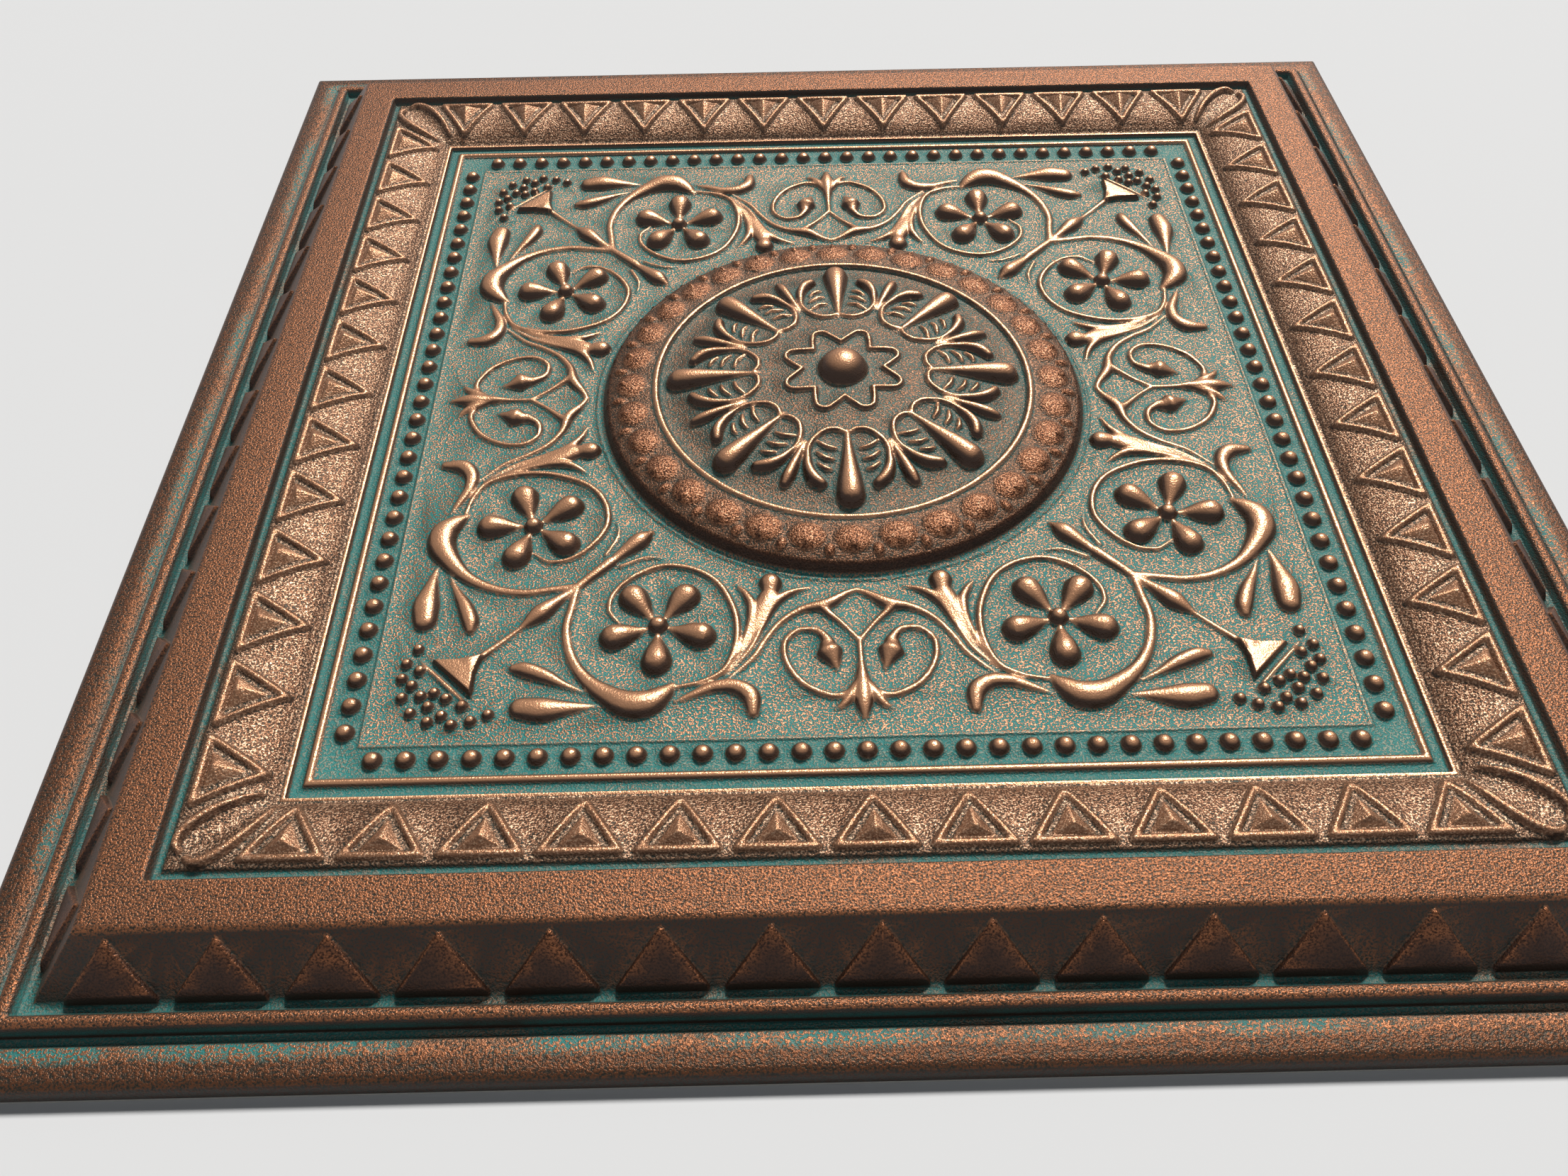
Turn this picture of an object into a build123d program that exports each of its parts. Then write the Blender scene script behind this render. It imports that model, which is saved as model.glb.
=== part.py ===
"""Foam ceiling tile: one pressed sheet, its face a framed field of scrolls and a medallion."""

import os
from math import atan2, cos, radians, sin

from build123d import *

# The sheet. The origin is the middle of its back, +Z its face
TILE = 500.0
SHEET = 5.0
FLANGE_Z = 6.2
EDGE_R = 4.0
GROOVE_Z = 5.2
WALL_FOOT_Z = 7.0
RIM_Z = 23.5
RIM_R = 1.0
COVE_Z = 21.6
FLOOR_Z = 13.5
BACK_D = 226.0
BACK_RIM_D = 211.0
BACK_COVE_D = 174.5

# Distances of the frame's lines from the middle of the tile
FLANGE_D = 237.5
ROLL_D = 232.5
ROLL_R = 2.6
ROLL_Z = 8.0
WALL_FOOT_D = 226.5
RIM_OUT_D = 213.4
RIM_IN_D = 198.4
STEP_D = 197.0
COVE_OUT_D = 195.5
COVE_IN_D = 171.2
LINE_W = 1.6
LINE_H = 1.8
ROPE_D = 164.4
ROPE_R = 1.5
FINE_D = 152.0
FINE_W = 0.9
FINE_H = 0.4

# Beads between the rope and the fine line
BEAD_D = 157.0
BEAD_R = 2.95
BEAD_PITCH = 9.8
BEAD_COUNT = 31

# Triangles on the outer wall
WALL_TRI_COUNT = 15
WALL_TRI_PITCH = 29.3
WALL_TRI_BASE = 25.0
WALL_TRI_FOOT = 1.4
WALL_TRI_TIP = 18.5
WALL_TRI_H = 0.8

# Triangles on the cove: a raised line round a raised middle
COVE_TRI_COUNT = 13
COVE_TRI_PITCH = 27.3
COVE_TRI_BASE = 24.2
COVE_TRI_TIP_D = 173.5
COVE_TRI_FOOT_D = 194.2
COVE_TRI_LINE = 1.5
COVE_TRI_GROOVE = 1.6
COVE_RELIEF = 1.1

# Medallion
MED_R = 91.0
MED_STEP = 0.7
MED_WALL_R = 90.0
MED_SEAT_R = 86.0
MED_SEAT_Z = 18.6
RING_OUT_R = 70.1
RING_IN_R = 67.9
RING_Z = 20.8
DOME_R = 67.6
DOME_FOOT_Z = 19.8
DOME_Z = 26.0
BOSS_R = 9.75
BOSS_Z = 33.0
EGG_COUNT = 32
EGG_AT_R = 77.5
EGG_R = 6.6
EGG_Z = 22.0
STAR_TIP_R = 22.4
STAR_NOTCH_R = 14.8
STAR_LINE = 2.2
DROP_COUNT = 8
DROP_TIP_R = 30.5
DROP_END_R = 65.3
DROP_R = 4.9
DROP_TIP = 0.8
DROP_TIP_Z = 24.3

# Scrollwork on the field, drawn between the front axis and the left front diagonal
FLOWER_X = -64.2
FLOWER_Y = -108.5
HUB_R = 3.2
PETAL_COUNT = 5
PETAL_IN = 1.5
PETAL_OUT = 19.6
PETAL_R = 4.7
PETAL_SUNK = 1.2
STEM_W = 2.4
STEM_H = 1.3
LEAF_H = 2.2
SUNK = 1.0

SIDES = 4
HALF = TILE / 2

side = Plane(origin=(0, 0, 0), x_dir=(0, -1, 0), z_dir=(-1, 0, 0))
ring_gap = STEP_D - COVE_OUT_D

# Section of the sheet along one side, from the middle of the tile to its edge
with BuildPart() as strip:
    with BuildSketch(side) as section:
        with BuildLine():
            cove_a, cove_b = COVE_OUT_D - COVE_IN_D, COVE_Z - FLOOR_Z
            face = EllipticalCenterArc((COVE_OUT_D, FLOOR_Z), cove_a, cove_b, start_angle=90, arc_size=90)
            Polyline(
                (COVE_OUT_D, COVE_Z),
                (STEP_D, COVE_Z - ring_gap / 2),
                (STEP_D, COVE_Z),
                (RIM_IN_D, RIM_Z),
                (RIM_OUT_D, RIM_Z),
                (WALL_FOOT_D, WALL_FOOT_Z),
                (ROLL_D, WALL_FOOT_Z),
                (ROLL_D, GROOVE_Z),
                (FLANGE_D, GROOVE_Z),
                (FLANGE_D, FLANGE_Z),
                (HALF, FLANGE_Z),
                (HALF, 0),
                (BACK_D, 0),
                (BACK_RIM_D, RIM_Z - SHEET),
                (RIM_IN_D, RIM_Z - SHEET),
                (COVE_OUT_D, COVE_Z - SHEET),
            )
            back = EllipticalCenterArc(
                (COVE_OUT_D, FLOOR_Z), COVE_OUT_D - BACK_COVE_D, cove_b - SHEET, start_angle=90, arc_size=90
            )
            Polyline(
                (BACK_COVE_D, FLOOR_Z),
                (BACK_COVE_D, FLOOR_Z - SHEET),
                (0, FLOOR_Z - SHEET),
                (0, FLOOR_Z),
                (COVE_IN_D, FLOOR_Z),
            )
        make_face()
        rim_edges = section.vertices().filter_by_position(Axis.Y, RIM_Z - 0.1, RIM_Z + 0.1)
        fillet(rim_edges, radius=RIM_R)
        fillet(section.vertices().sort_by_distance((HALF, FLANGE_Z))[0], radius=EDGE_R)
        with Locations((ROLL_D, ROLL_Z)):
            Circle(ROLL_R)
        with Locations((ROPE_D, FLOOR_Z)):
            Circle(ROPE_R)
        with Locations((COVE_IN_D - LINE_W / 2, FLOOR_Z)):
            Rectangle(LINE_W, 2 * LINE_H)
        with Locations((FINE_D, FLOOR_Z)):
            Rectangle(FINE_W, 2 * FINE_H)
    extrude(amount=HALF, both=True)
    with BuildSketch():
        Polygon((0, 0), (-HALF, -HALF), (HALF, -HALF), align=None)
    extrude(amount=TILE, mode=Mode.INTERSECT)

# Relief on the cove: its surface raised a little, kept inside the triangles and corner lines
with BuildPart() as cove_relief:
    with BuildSketch(side):
        with BuildLine():
            EllipticalCenterArc(
                (COVE_OUT_D, FLOOR_Z),
                cove_a + COVE_RELIEF,
                cove_b + COVE_RELIEF,
                start_angle=90,
                arc_size=90,
            )
            EllipticalCenterArc(
                (COVE_OUT_D, FLOOR_Z), cove_a - SUNK, cove_b - SUNK, start_angle=90, arc_size=90
            )
            Line((COVE_OUT_D, COVE_Z + COVE_RELIEF), (COVE_OUT_D, COVE_Z - SUNK))
            Line((COVE_IN_D - COVE_RELIEF, FLOOR_Z), (COVE_IN_D + SUNK, FLOOR_Z))
        make_face()
    extrude(amount=HALF, both=True)
    with BuildSketch():
        with BuildSketch(mode=Mode.PRIVATE) as triangle:
            foot, tip = COVE_TRI_BASE / 2, COVE_TRI_FOOT_D - COVE_TRI_TIP_D
            outline = Polygon((-foot, 0), (foot, 0), (0, tip), align=None)
            offset(outline, amount=-COVE_TRI_LINE, kind=Kind.INTERSECTION, mode=Mode.SUBTRACT)
            middle = offset(
                outline,
                amount=-COVE_TRI_LINE - COVE_TRI_GROOVE,
                kind=Kind.INTERSECTION,
                mode=Mode.PRIVATE,
            )
            add(middle)
        with Locations((0, -COVE_TRI_FOOT_D)):
            with GridLocations(COVE_TRI_PITCH, 0, COVE_TRI_COUNT, 1):
                add(triangle.sketch)
        with BuildLine():
            Spline((-172.5, -175.5), (-177, -185), (-183, -191.5), (-188.5, -191.5))
        trace(line_width=COVE_TRI_LINE)
        with BuildLine():
            Spline((172.5, -175.5), (177, -185), (183, -191.5), (188.5, -191.5))
        trace(line_width=COVE_TRI_LINE)
    extrude(amount=TILE, mode=Mode.INTERSECT)

# Facets on the outer wall
wall_run, wall_rise = WALL_FOOT_D - RIM_OUT_D, RIM_Z - WALL_FOOT_Z
wall = Plane(
    origin=(0, -WALL_FOOT_D, WALL_FOOT_Z), x_dir=(1, 0, 0), z_dir=(0, -wall_rise, wall_run)
)
with BuildPart() as facets:
    with BuildSketch(wall):
        with GridLocations(WALL_TRI_PITCH, 0, WALL_TRI_COUNT, 1):
            base = WALL_TRI_BASE / 2
            Polygon((-base, WALL_TRI_FOOT), (base, WALL_TRI_FOOT), (0, WALL_TRI_TIP), align=None)
    extrude(amount=WALL_TRI_H, both=True)

with BuildPart() as beads:
    with GridLocations(BEAD_PITCH, 0, BEAD_COUNT, 1):
        with Locations((0, -BEAD_D, FLOOR_Z)):
            Sphere(BEAD_R)


def stroke(*dots):
    """Adds a tapering stroke through (x, y, radius) dots to the sketch that is open."""
    for a, b in zip(dots, dots[1:]):
        with BuildSketch(mode=Mode.PRIVATE) as limb:
            for x, y, r in (a, b):
                with Locations((x, y)):
                    Circle(r)
            make_hull()
        add(limb.sketch)


# Stems of one side's scrollwork: the left half, its mirror image, and what lies between
with BuildPart() as stems:
    with BuildSketch(Plane.XY.offset(FLOOR_Z - SUNK)):
        with BuildLine():
            Spline(
                (-58, -133),
                (-49.3, -130.7),
                (-42.5, -126.7),
                (-39, -115.3),
                (-39.6, -104),
                (-44.7, -91.5),
                (-52.7, -85.2),
                (-62.9, -83.5),
                (-72, -86.9),
                (-78.8, -93.7),
                (-80.2, -100.5),
                (-75.4, -107.9),
            )
        trace(line_width=STEM_W)
        with BuildLine():
            Spline(
                (-91.6, -93),
                (-92.6, -100.5),
                (-93.6, -109.6),
                (-91.3, -119.9),
                (-86.2, -129),
                (-77.7, -135),
            )
        trace(line_width=STEM_W + 1)
        with BuildLine():
            Spline(
                (-41.3, -129.5),
                (-33.9, -122.1),
                (-29.4, -114.2),
                (-24.3, -107.4),
                (-17.5, -102.3),
                (-9.5, -100.5),
                (-3.8, -96.6),
                (0, -95),
            )
        trace(line_width=STEM_W)
        with BuildLine():
            Spline(
                (-2.7, -135.2),
                (-9.5, -136.9),
                (-18, -132.4),
                (-23.1, -124.4),
                (-23.7, -116.5),
                (-19.2, -111.3),
                (-12.9, -111.9),
                (-9.5, -117),
            )
        trace(line_width=STEM_W)
        stroke((-9.5, -102.5, 2), (-3.8, -110.8, 1), (0, -115.3, 1))
        mirror(about=Plane.YZ)
        stroke((0, -94.6, 1.3), (0, -96, 1.3))
        stroke((0, -115.3, 1.1), (0, -130, 2))
        stroke((-82, -75.5, 0.8), (-79, -69.9, 0.8), (-80, -63, 0.8))
        stroke((-75.5, -82, 0.8), (-69.9, -79, 0.8), (-63, -80, 0.8))
        stroke((-93, -93, 1.5), (-80, -80, 2.2))
        stroke((-107, -107, 1.1), (-119.5, -119.5, 1.1))
        stroke((-138, -121.6, 0.9), (-121.6, -138, 0.9))
    extrude(amount=SUNK + STEM_H)

# Leaves, buds and the corner cup of the same scrollwork
with BuildPart() as leaves:
    with BuildSketch(Plane.XY.offset(FLOOR_Z - SUNK)):
        stroke((-79, -136, 2), (-72, -139, 4.6), (-66, -139, 4.6), (-61.5, -135, 3), (-59, -131.6, 1.2))
        stroke((-57.5, -137.5, 1.4), (-46, -133, 2.2), (-38.5, -133.5, 2.8), (-34, -138, 3), (-34.3, -143.4, 2))
        stroke((-43, -128, 0.9), (-34.5, -113, 1.6), (-31, -101, 3.2), (-30, -97, 4))
        stroke((-38.5, -92.6, 0.9), (-34, -97.5, 1.8), (-28, -99.5, 2), (-22, -96.5, 1.8), (-15, -93.8, 0.8))
        stroke((-28, -91.4, 3.8), (-28.6, -97, 2.4))
        stroke((-9.5, -119.8, 4.2), (-7.4, -127, 0.8))
        stroke((-1.5, -132, 1.5), (-4.5, -138, 1.8), (-8.6, -141.8, 0.8))
        stroke((-84, -135, 0.7), (-92.5, -130.7, 1.4), (-100.5, -126.6, 2.1), (-109, -124.4, 1.2))
        stroke((-81, -138.8, 0.8), (-98, -139.8, 4.4), (-104.5, -139, 3.6))
        mirror(about=Plane.YZ)
        stroke((0, -131, 2.2), (0, -139, 2.8), (0, -145.5, 1))
        stroke((-82, -82, 1.2), (-71.4, -71.4, 3.4), (-67, -67, 0.8))
        stroke((-93.5, -93.5, 1.1), (-103, -103, 3.4), (-108.5, -108.5, 1.1))
        with BuildLine():
            cup_tip, cup_foot = (-118.4, -118.4), (-134.6, -120.4)
            SagittaArc(cup_tip, cup_foot, 1.0)
            Line(cup_foot, (cup_foot[1], cup_foot[0]))
            SagittaArc((cup_foot[1], cup_foot[0]), cup_tip, 1.0)
        make_face()
    extrude(amount=SUNK + LEAF_H)

# One flower: a hub and its petals, each petal a drop lying on the field
petal_plane = Plane(origin=(PETAL_IN, 0, FLOOR_Z - PETAL_SUNK), x_dir=(1, 0, 0), z_dir=(0, -1, 0))
with BuildPart() as petal:
    with BuildSketch(petal_plane):
        with Locations((DROP_TIP, 0)):
            Circle(DROP_TIP)
        with Locations((PETAL_OUT - PETAL_IN - PETAL_R, 0)):
            Circle(PETAL_R)
        make_hull()
        Rectangle(TILE, TILE, align=(Align.CENTER, Align.MIN), mode=Mode.INTERSECT)
    revolve(axis=Axis(petal_plane.origin, petal_plane.x_dir))
with BuildPart() as flower:
    with Locations((0, 0, FLOOR_Z)):
        Sphere(HUB_R)
    with PolarLocations(0, PETAL_COUNT, start_angle=-90):
        add(petal.part)
    split(bisect_by=Plane.XY.offset(FLOOR_Z - SUNK))

# One side of the tile with everything that stands on it
with BuildPart() as quarter:
    add(strip.part)
    add(cove_relief.part)
    add(facets.part)
    add(beads.part)
    with Locations((FLOWER_X, FLOWER_Y), (-FLOWER_X, FLOWER_Y)):
        add(flower.part)

# Medallion: step, wall, egg seat, raised ring and low dome
with BuildPart() as medallion:
    with BuildSketch(Plane.XZ):
        with BuildLine():
            TangentArc((0, DOME_Z), (DOME_R, DOME_FOOT_Z), tangent=(1, 0))
            Polyline(
                (DOME_R, DOME_FOOT_Z),
                (RING_IN_R, RING_Z),
                (RING_OUT_R, RING_Z),
                (RING_OUT_R, MED_SEAT_Z),
                (MED_SEAT_R, MED_SEAT_Z),
                (MED_WALL_R, FLOOR_Z + MED_STEP),
                (MED_R, FLOOR_Z + MED_STEP),
                (MED_R, FLOOR_Z - SUNK),
                (0, FLOOR_Z - SUNK),
                (0, DOME_Z),
            )
        make_face()
    revolve(axis=Axis.Z)
    with PolarLocations(EGG_AT_R, EGG_COUNT):
        with Locations((0, 0, EGG_Z - EGG_R)):
            Sphere(EGG_R)
    with Locations((0, 0, BOSS_Z - BOSS_R)):
        Sphere(BOSS_R)

# Star round the boss and the palmettes between the drops, raised off the dome
with BuildPart() as dome_relief:
    with BuildSketch(Plane.XZ):
        with BuildLine():
            raised = DOME_Z + STEM_H
            TangentArc((0, raised), (DOME_R, DOME_FOOT_Z + STEM_H), tangent=(1, 0))
            Polyline(
                (DOME_R, DOME_FOOT_Z + STEM_H), (DOME_R, FLOOR_Z), (0, FLOOR_Z), (0, raised)
            )
        make_face()
    revolve(axis=Axis.Z)
    with BuildSketch():
        half_pitch = 180 / DROP_COUNT
        with BuildSketch(mode=Mode.PRIVATE) as palmette:
            with BuildLine():
                Spline((-1, -33.5), (-6.8, -30.8), (-12.2, -34.5), (-14, -40))
            trace(line_width=STEM_W)
            stroke((-14, -40, 1.2), (-13.6, -48, 1.9), (-9.4, -55.6, 1.8))
            mirror(about=Plane.YZ)
            axis_leaf = ((40, 1.2), (50, 2.1), (56.5, 2.1))
            stroke(*[
                (r * cos(radians(-90 - half_pitch)), r * sin(radians(-90 - half_pitch)), w)
                for r, w in axis_leaf
            ])
            star_line = [
                (r * cos(radians(-90 + a)), r * sin(radians(-90 + a)))
                for r, a in (
                    (STAR_TIP_R, -half_pitch),
                    (STAR_NOTCH_R, 0),
                    (STAR_TIP_R, half_pitch),
                )
            ]
            stroke(*[(x, y, STAR_LINE / 2) for x, y in star_line])
        with PolarLocations(0, DROP_COUNT):
            add(palmette.sketch)
    extrude(amount=TILE, mode=Mode.INTERSECT)

# One drop of the medallion, lying on the dome
drop_tilt = atan2(DOME_Z - DOME_FOOT_Z, DOME_R)
drop_plane = Plane(
    origin=(DROP_TIP_R, 0, DROP_TIP_Z),
    x_dir=(cos(drop_tilt), 0, -sin(drop_tilt)),
    z_dir=(0, -1, 0),
)
with BuildPart() as drop:
    with BuildSketch(drop_plane):
        with Locations((DROP_TIP, 0)):
            Circle(DROP_TIP)
        with Locations((DROP_END_R - DROP_TIP_R - DROP_R, 0)):
            Circle(DROP_R)
        make_hull()
        Rectangle(TILE, TILE, align=(Align.CENTER, Align.MIN), mode=Mode.INTERSECT)
    revolve(axis=Axis(drop_plane.origin, drop_plane.x_dir))

# Hollow behind the medallion, one sheet thickness below its face
with BuildPart() as hollow:
    with BuildSketch(Plane.XZ):
        with BuildLine():
            TangentArc((0, DOME_Z - SHEET), (DOME_R, DOME_FOOT_Z - SHEET), tangent=(1, 0))
            Polyline(
                (DOME_R, DOME_FOOT_Z - SHEET),
                (MED_SEAT_R - SHEET, MED_SEAT_Z - SHEET),
                (MED_SEAT_R, FLOOR_Z - SHEET),
                (MED_SEAT_R, 0),
                (0, 0),
                (0, DOME_Z - SHEET),
            )
        make_face()
    revolve(axis=Axis.Z)

with BuildPart() as tile:
    with PolarLocations(0, SIDES):
        add(quarter.part)
        add(stems.part)
        add(leaves.part)
    add(medallion.part)
    with PolarLocations(0, DROP_COUNT):
        add(drop.part)
    add(dome_relief.part)
    add(hollow.part, mode=Mode.SUBTRACT)

tile.part.label = "ceiling_tile"
os.makedirs("parts", exist_ok=True)
export_step(tile.part, "parts/ceiling_tile.step")
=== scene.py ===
"""The foam ceiling tile, dressed.

Its face is pressed over a die of ornaments, as the real sheet is. The ornaments are modelled once,
for one quarter of the tile. A fine grid laid over them and pressed down gives a sheet with the
relief moulded in, which is mirrored to the whole tile and closed behind. Sizes are in millimetres,
from the middle of the tile's back, and angles in degrees.
"""

import logging
from dataclasses import dataclass
from functools import reduce
from math import cos, hypot, radians, sin
from typing import Callable, Sequence

import bmesh
import bpy
import numpy as np
from mathutils import Matrix, Vector

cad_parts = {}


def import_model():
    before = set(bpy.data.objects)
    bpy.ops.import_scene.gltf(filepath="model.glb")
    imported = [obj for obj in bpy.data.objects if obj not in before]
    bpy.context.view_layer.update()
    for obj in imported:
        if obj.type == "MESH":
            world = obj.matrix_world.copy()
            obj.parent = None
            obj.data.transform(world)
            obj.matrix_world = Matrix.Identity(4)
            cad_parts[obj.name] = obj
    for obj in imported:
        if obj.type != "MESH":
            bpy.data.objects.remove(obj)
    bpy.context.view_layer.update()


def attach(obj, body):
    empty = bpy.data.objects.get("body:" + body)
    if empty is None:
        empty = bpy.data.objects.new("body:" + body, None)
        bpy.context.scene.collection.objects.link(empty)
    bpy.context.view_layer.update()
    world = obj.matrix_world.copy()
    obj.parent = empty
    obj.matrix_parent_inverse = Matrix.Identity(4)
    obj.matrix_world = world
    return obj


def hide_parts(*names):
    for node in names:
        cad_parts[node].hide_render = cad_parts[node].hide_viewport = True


LOG = logging.getLogger("ceiling_tile")
MM = 0.001

Point = tuple[float, float]
Bead = tuple[float, float, float]
Surface = Callable[[float, float], float]
Colour = tuple[float, float, float]


def activate(*pieces: bpy.types.Object) -> None:
    """Selects these pieces alone and makes the first one active.

    Args:
        pieces: the objects to select.
    """
    bpy.ops.object.select_all(action="DESELECT")
    for piece in pieces:
        piece.select_set(True)
    bpy.context.view_layer.objects.active = pieces[0]


def join(pieces: Sequence[bpy.types.Object], name: str) -> bpy.types.Object:
    """Joins the pieces into one object.

    Args:
        pieces: the mesh objects to join.
        name: the name of the joined object.

    Returns:
        The joined object.
    """
    activate(*pieces)
    bpy.ops.object.join()
    joined = bpy.context.view_layer.objects.active
    joined.name = joined.data.name = name
    return joined


def settle(piece: bpy.types.Object) -> bpy.types.Object:
    """Puts an object's place, turn and scale into its mesh.

    Args:
        piece: the object to settle.

    Returns:
        The same object.
    """
    activate(piece)
    bpy.ops.object.transform_apply(location=True, rotation=True, scale=True)
    return piece


def apply(piece: bpy.types.Object, kind: str, **settings: object) -> None:
    """Adds a modifier to a piece and applies it.

    Args:
        piece: the object to change.
        kind: the modifier's type.
        settings: its properties.
    """
    activate(piece)
    modifier = piece.modifiers.new(kind.lower(), kind)
    for key, value in settings.items():
        setattr(modifier, key, value)
    bpy.ops.object.modifier_apply(modifier=modifier.name)


def vertices(piece: bpy.types.Object) -> np.ndarray:
    """The places of a mesh's vertices.

    Args:
        piece: the mesh object.

    Returns:
        One row for each vertex.
    """
    co = np.empty(len(piece.data.vertices) * 3)
    piece.data.vertices.foreach_get("co", co)
    return co.reshape(-1, 3)


def set_vertices(piece: bpy.types.Object, co: np.ndarray) -> None:
    """Moves a mesh's vertices to the rows given."""
    piece.data.vertices.foreach_set("co", co.ravel())
    piece.data.update()


@dataclass
class Section:
    """The frame's section, from the edge of the tile in to its field.

    Every length is a distance from the middle of the tile, every height one above the back.
    """

    half: float = 250.0
    edge_radius: float = 4.0
    flange_z: float = 6.2
    flange_d: float = 237.5
    groove_z: float = 5.2
    roll_d: float = 232.5
    roll_r: float = 2.6
    roll_z: float = 8.0
    wall_foot_d: float = 226.5
    wall_foot_z: float = 7.0
    rim_out_d: float = 213.4
    rim_in_d: float = 198.9
    rim_z: float = 23.5
    step_d: float = 198.0
    step_drop: float = 1.2
    cove_out_d: float = 195.5
    cove_in_d: float = 171.2
    cove_z: float = 21.6
    line_w: float = 1.6
    line_h: float = 1.7
    rope_d: float = 164.4
    rope_r: float = 1.5
    fine_d: float = 152.0
    fine_w: float = 0.9
    fine_h: float = 0.5
    floor_z: float = 13.5
    arc_steps: int = 8
    soft: float = 0.35
    margin: float = 1.0

    def arc(self, centre: Point, radii: Point, start: float, end: float) -> list[Point]:
        """Points along an arc of an ellipse.

        Args:
            centre: its centre, as distance and height.
            radii: its half widths along distance and height.
            start: the first angle, in degrees from the outward direction.
            end: the last angle.

        Returns:
            The points, ends included.
        """
        last = self.arc_steps
        turns = [radians(start + (end - start) * i / last) for i in range(last + 1)]
        return [(centre[0] + radii[0] * cos(t), centre[1] + radii[1] * sin(t)) for t in turns]

    def height(self, x: float, y: float) -> float:
        """Height of the frame and field under a place.

        Args:
            x: the place across.
            y: the place along.

        Returns:
            The height above the back.
        """
        line = self.outline()[::-1]
        return float(np.interp(max(abs(x), abs(y)), [d for d, _ in line], [z for _, z in line]))

    def outline(self) -> list[Point]:
        """The whole section from the edge inwards.

        Returns:
            Its points, each a distance and a height.
        """
        edge = self.arc(
            (self.half - self.edge_radius, self.flange_z - self.edge_radius),
            (self.edge_radius, self.edge_radius),
            0,
            90,
        )
        roll = self.arc((self.roll_d, self.roll_z), (self.roll_r, self.roll_r), 0, 180)
        cove = self.arc(
            (self.cove_out_d, self.floor_z),
            (self.cove_out_d - self.cove_in_d, self.cove_z - self.floor_z),
            90,
            176,
        )
        rope = self.arc((self.rope_d, self.floor_z), (self.rope_r, self.rope_r), 0, 180)
        line_in = self.cove_in_d - self.line_w
        return [
            (self.half + self.margin, self.flange_z - self.edge_radius),
            *edge,
            (self.flange_d + self.soft, self.flange_z),
            (self.flange_d, self.groove_z),
            (self.roll_d + self.roll_r, self.groove_z),
            *roll,
            (self.roll_d - self.roll_r, self.wall_foot_z),
            (self.wall_foot_d, self.wall_foot_z),
            (self.rim_out_d + 0.5, self.rim_z - 0.7),
            (self.rim_out_d - self.soft, self.rim_z - 0.15),
            (self.rim_out_d - 1.4, self.rim_z),
            (self.rim_in_d + 0.8, self.rim_z),
            (self.rim_in_d + 0.2, self.rim_z - 0.15),
            (self.rim_in_d - 0.1, self.rim_z - 0.6),
            (self.step_d, self.cove_z - self.step_drop),
            (self.cove_out_d + self.soft, self.cove_z - self.step_drop),
            *cove,
            (self.cove_in_d, self.floor_z + self.line_h),
            (line_in, self.floor_z + self.line_h),
            (line_in, self.floor_z),
            *rope,
            (self.fine_d + self.fine_w / 2, self.floor_z),
            (self.fine_d + self.fine_w / 2, self.floor_z + self.fine_h),
            (self.fine_d - self.fine_w / 2, self.floor_z + self.fine_h),
            (self.fine_d - self.fine_w / 2, self.floor_z),
        ]


@dataclass
class Dome:
    """The medallion's turned form: a step, a wall, the egg seat, a raised ring and a low dome."""

    foot_r: float = 91.6
    foot_h: float = 0.8
    wall_r: float = 88.6
    shoulder_r: float = 84.0
    seat_z: float = 18.9
    ring_r: float = 69.0
    ring_half: float = 1.4
    ring_z: float = 21.7
    dome_r: float = 67.6
    dome_foot_z: float = 19.8
    top_z: float = 26.0
    rings: int = 12
    sides: int = 256

    def height(self, r: float) -> float:
        """Height of the dome at a radius.

        Args:
            r: the radius, inside the raised ring.

        Returns:
            The height above the back.
        """
        return self.top_z - (self.top_z - self.dome_foot_z) * (r / self.dome_r) ** 2

    def outline(self, floor_z: float) -> list[Point]:
        """The turned section, from the foot in to the middle.

        Args:
            floor_z: the height of the field it stands on.

        Returns:
            Its points, each a radius and a height.
        """
        dome = [self.dome_r * (1 - i / self.rings) for i in range(self.rings)]
        line_z = floor_z + self.foot_h
        r, axis_z = self.ring_half, self.ring_z - self.ring_half
        turns = [radians(t) for t in range(0, 181, 30)]
        ridge = [(self.ring_r + r * cos(t), axis_z + r * sin(t)) for t in turns]
        return [
            (self.foot_r, floor_z),
            (self.foot_r - 0.3, line_z),
            (self.foot_r - 0.9, line_z),
            (self.foot_r - 1.3, floor_z + 0.1),
            (self.foot_r - 1.7, floor_z + 0.1),
            (self.foot_r - 2.0, line_z),
            (self.foot_r - 2.6, line_z),
            (self.wall_r, floor_z + 1.0),
            (self.wall_r - 0.9, self.seat_z - 2.0),
            (self.wall_r - 2.2, self.seat_z - 0.7),
            (self.shoulder_r, self.seat_z),
            (self.ring_r + self.ring_half + 0.6, self.seat_z + 1.6),
            *ridge,
            *[(r, self.height(r)) for r in dome],
        ]


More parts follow.
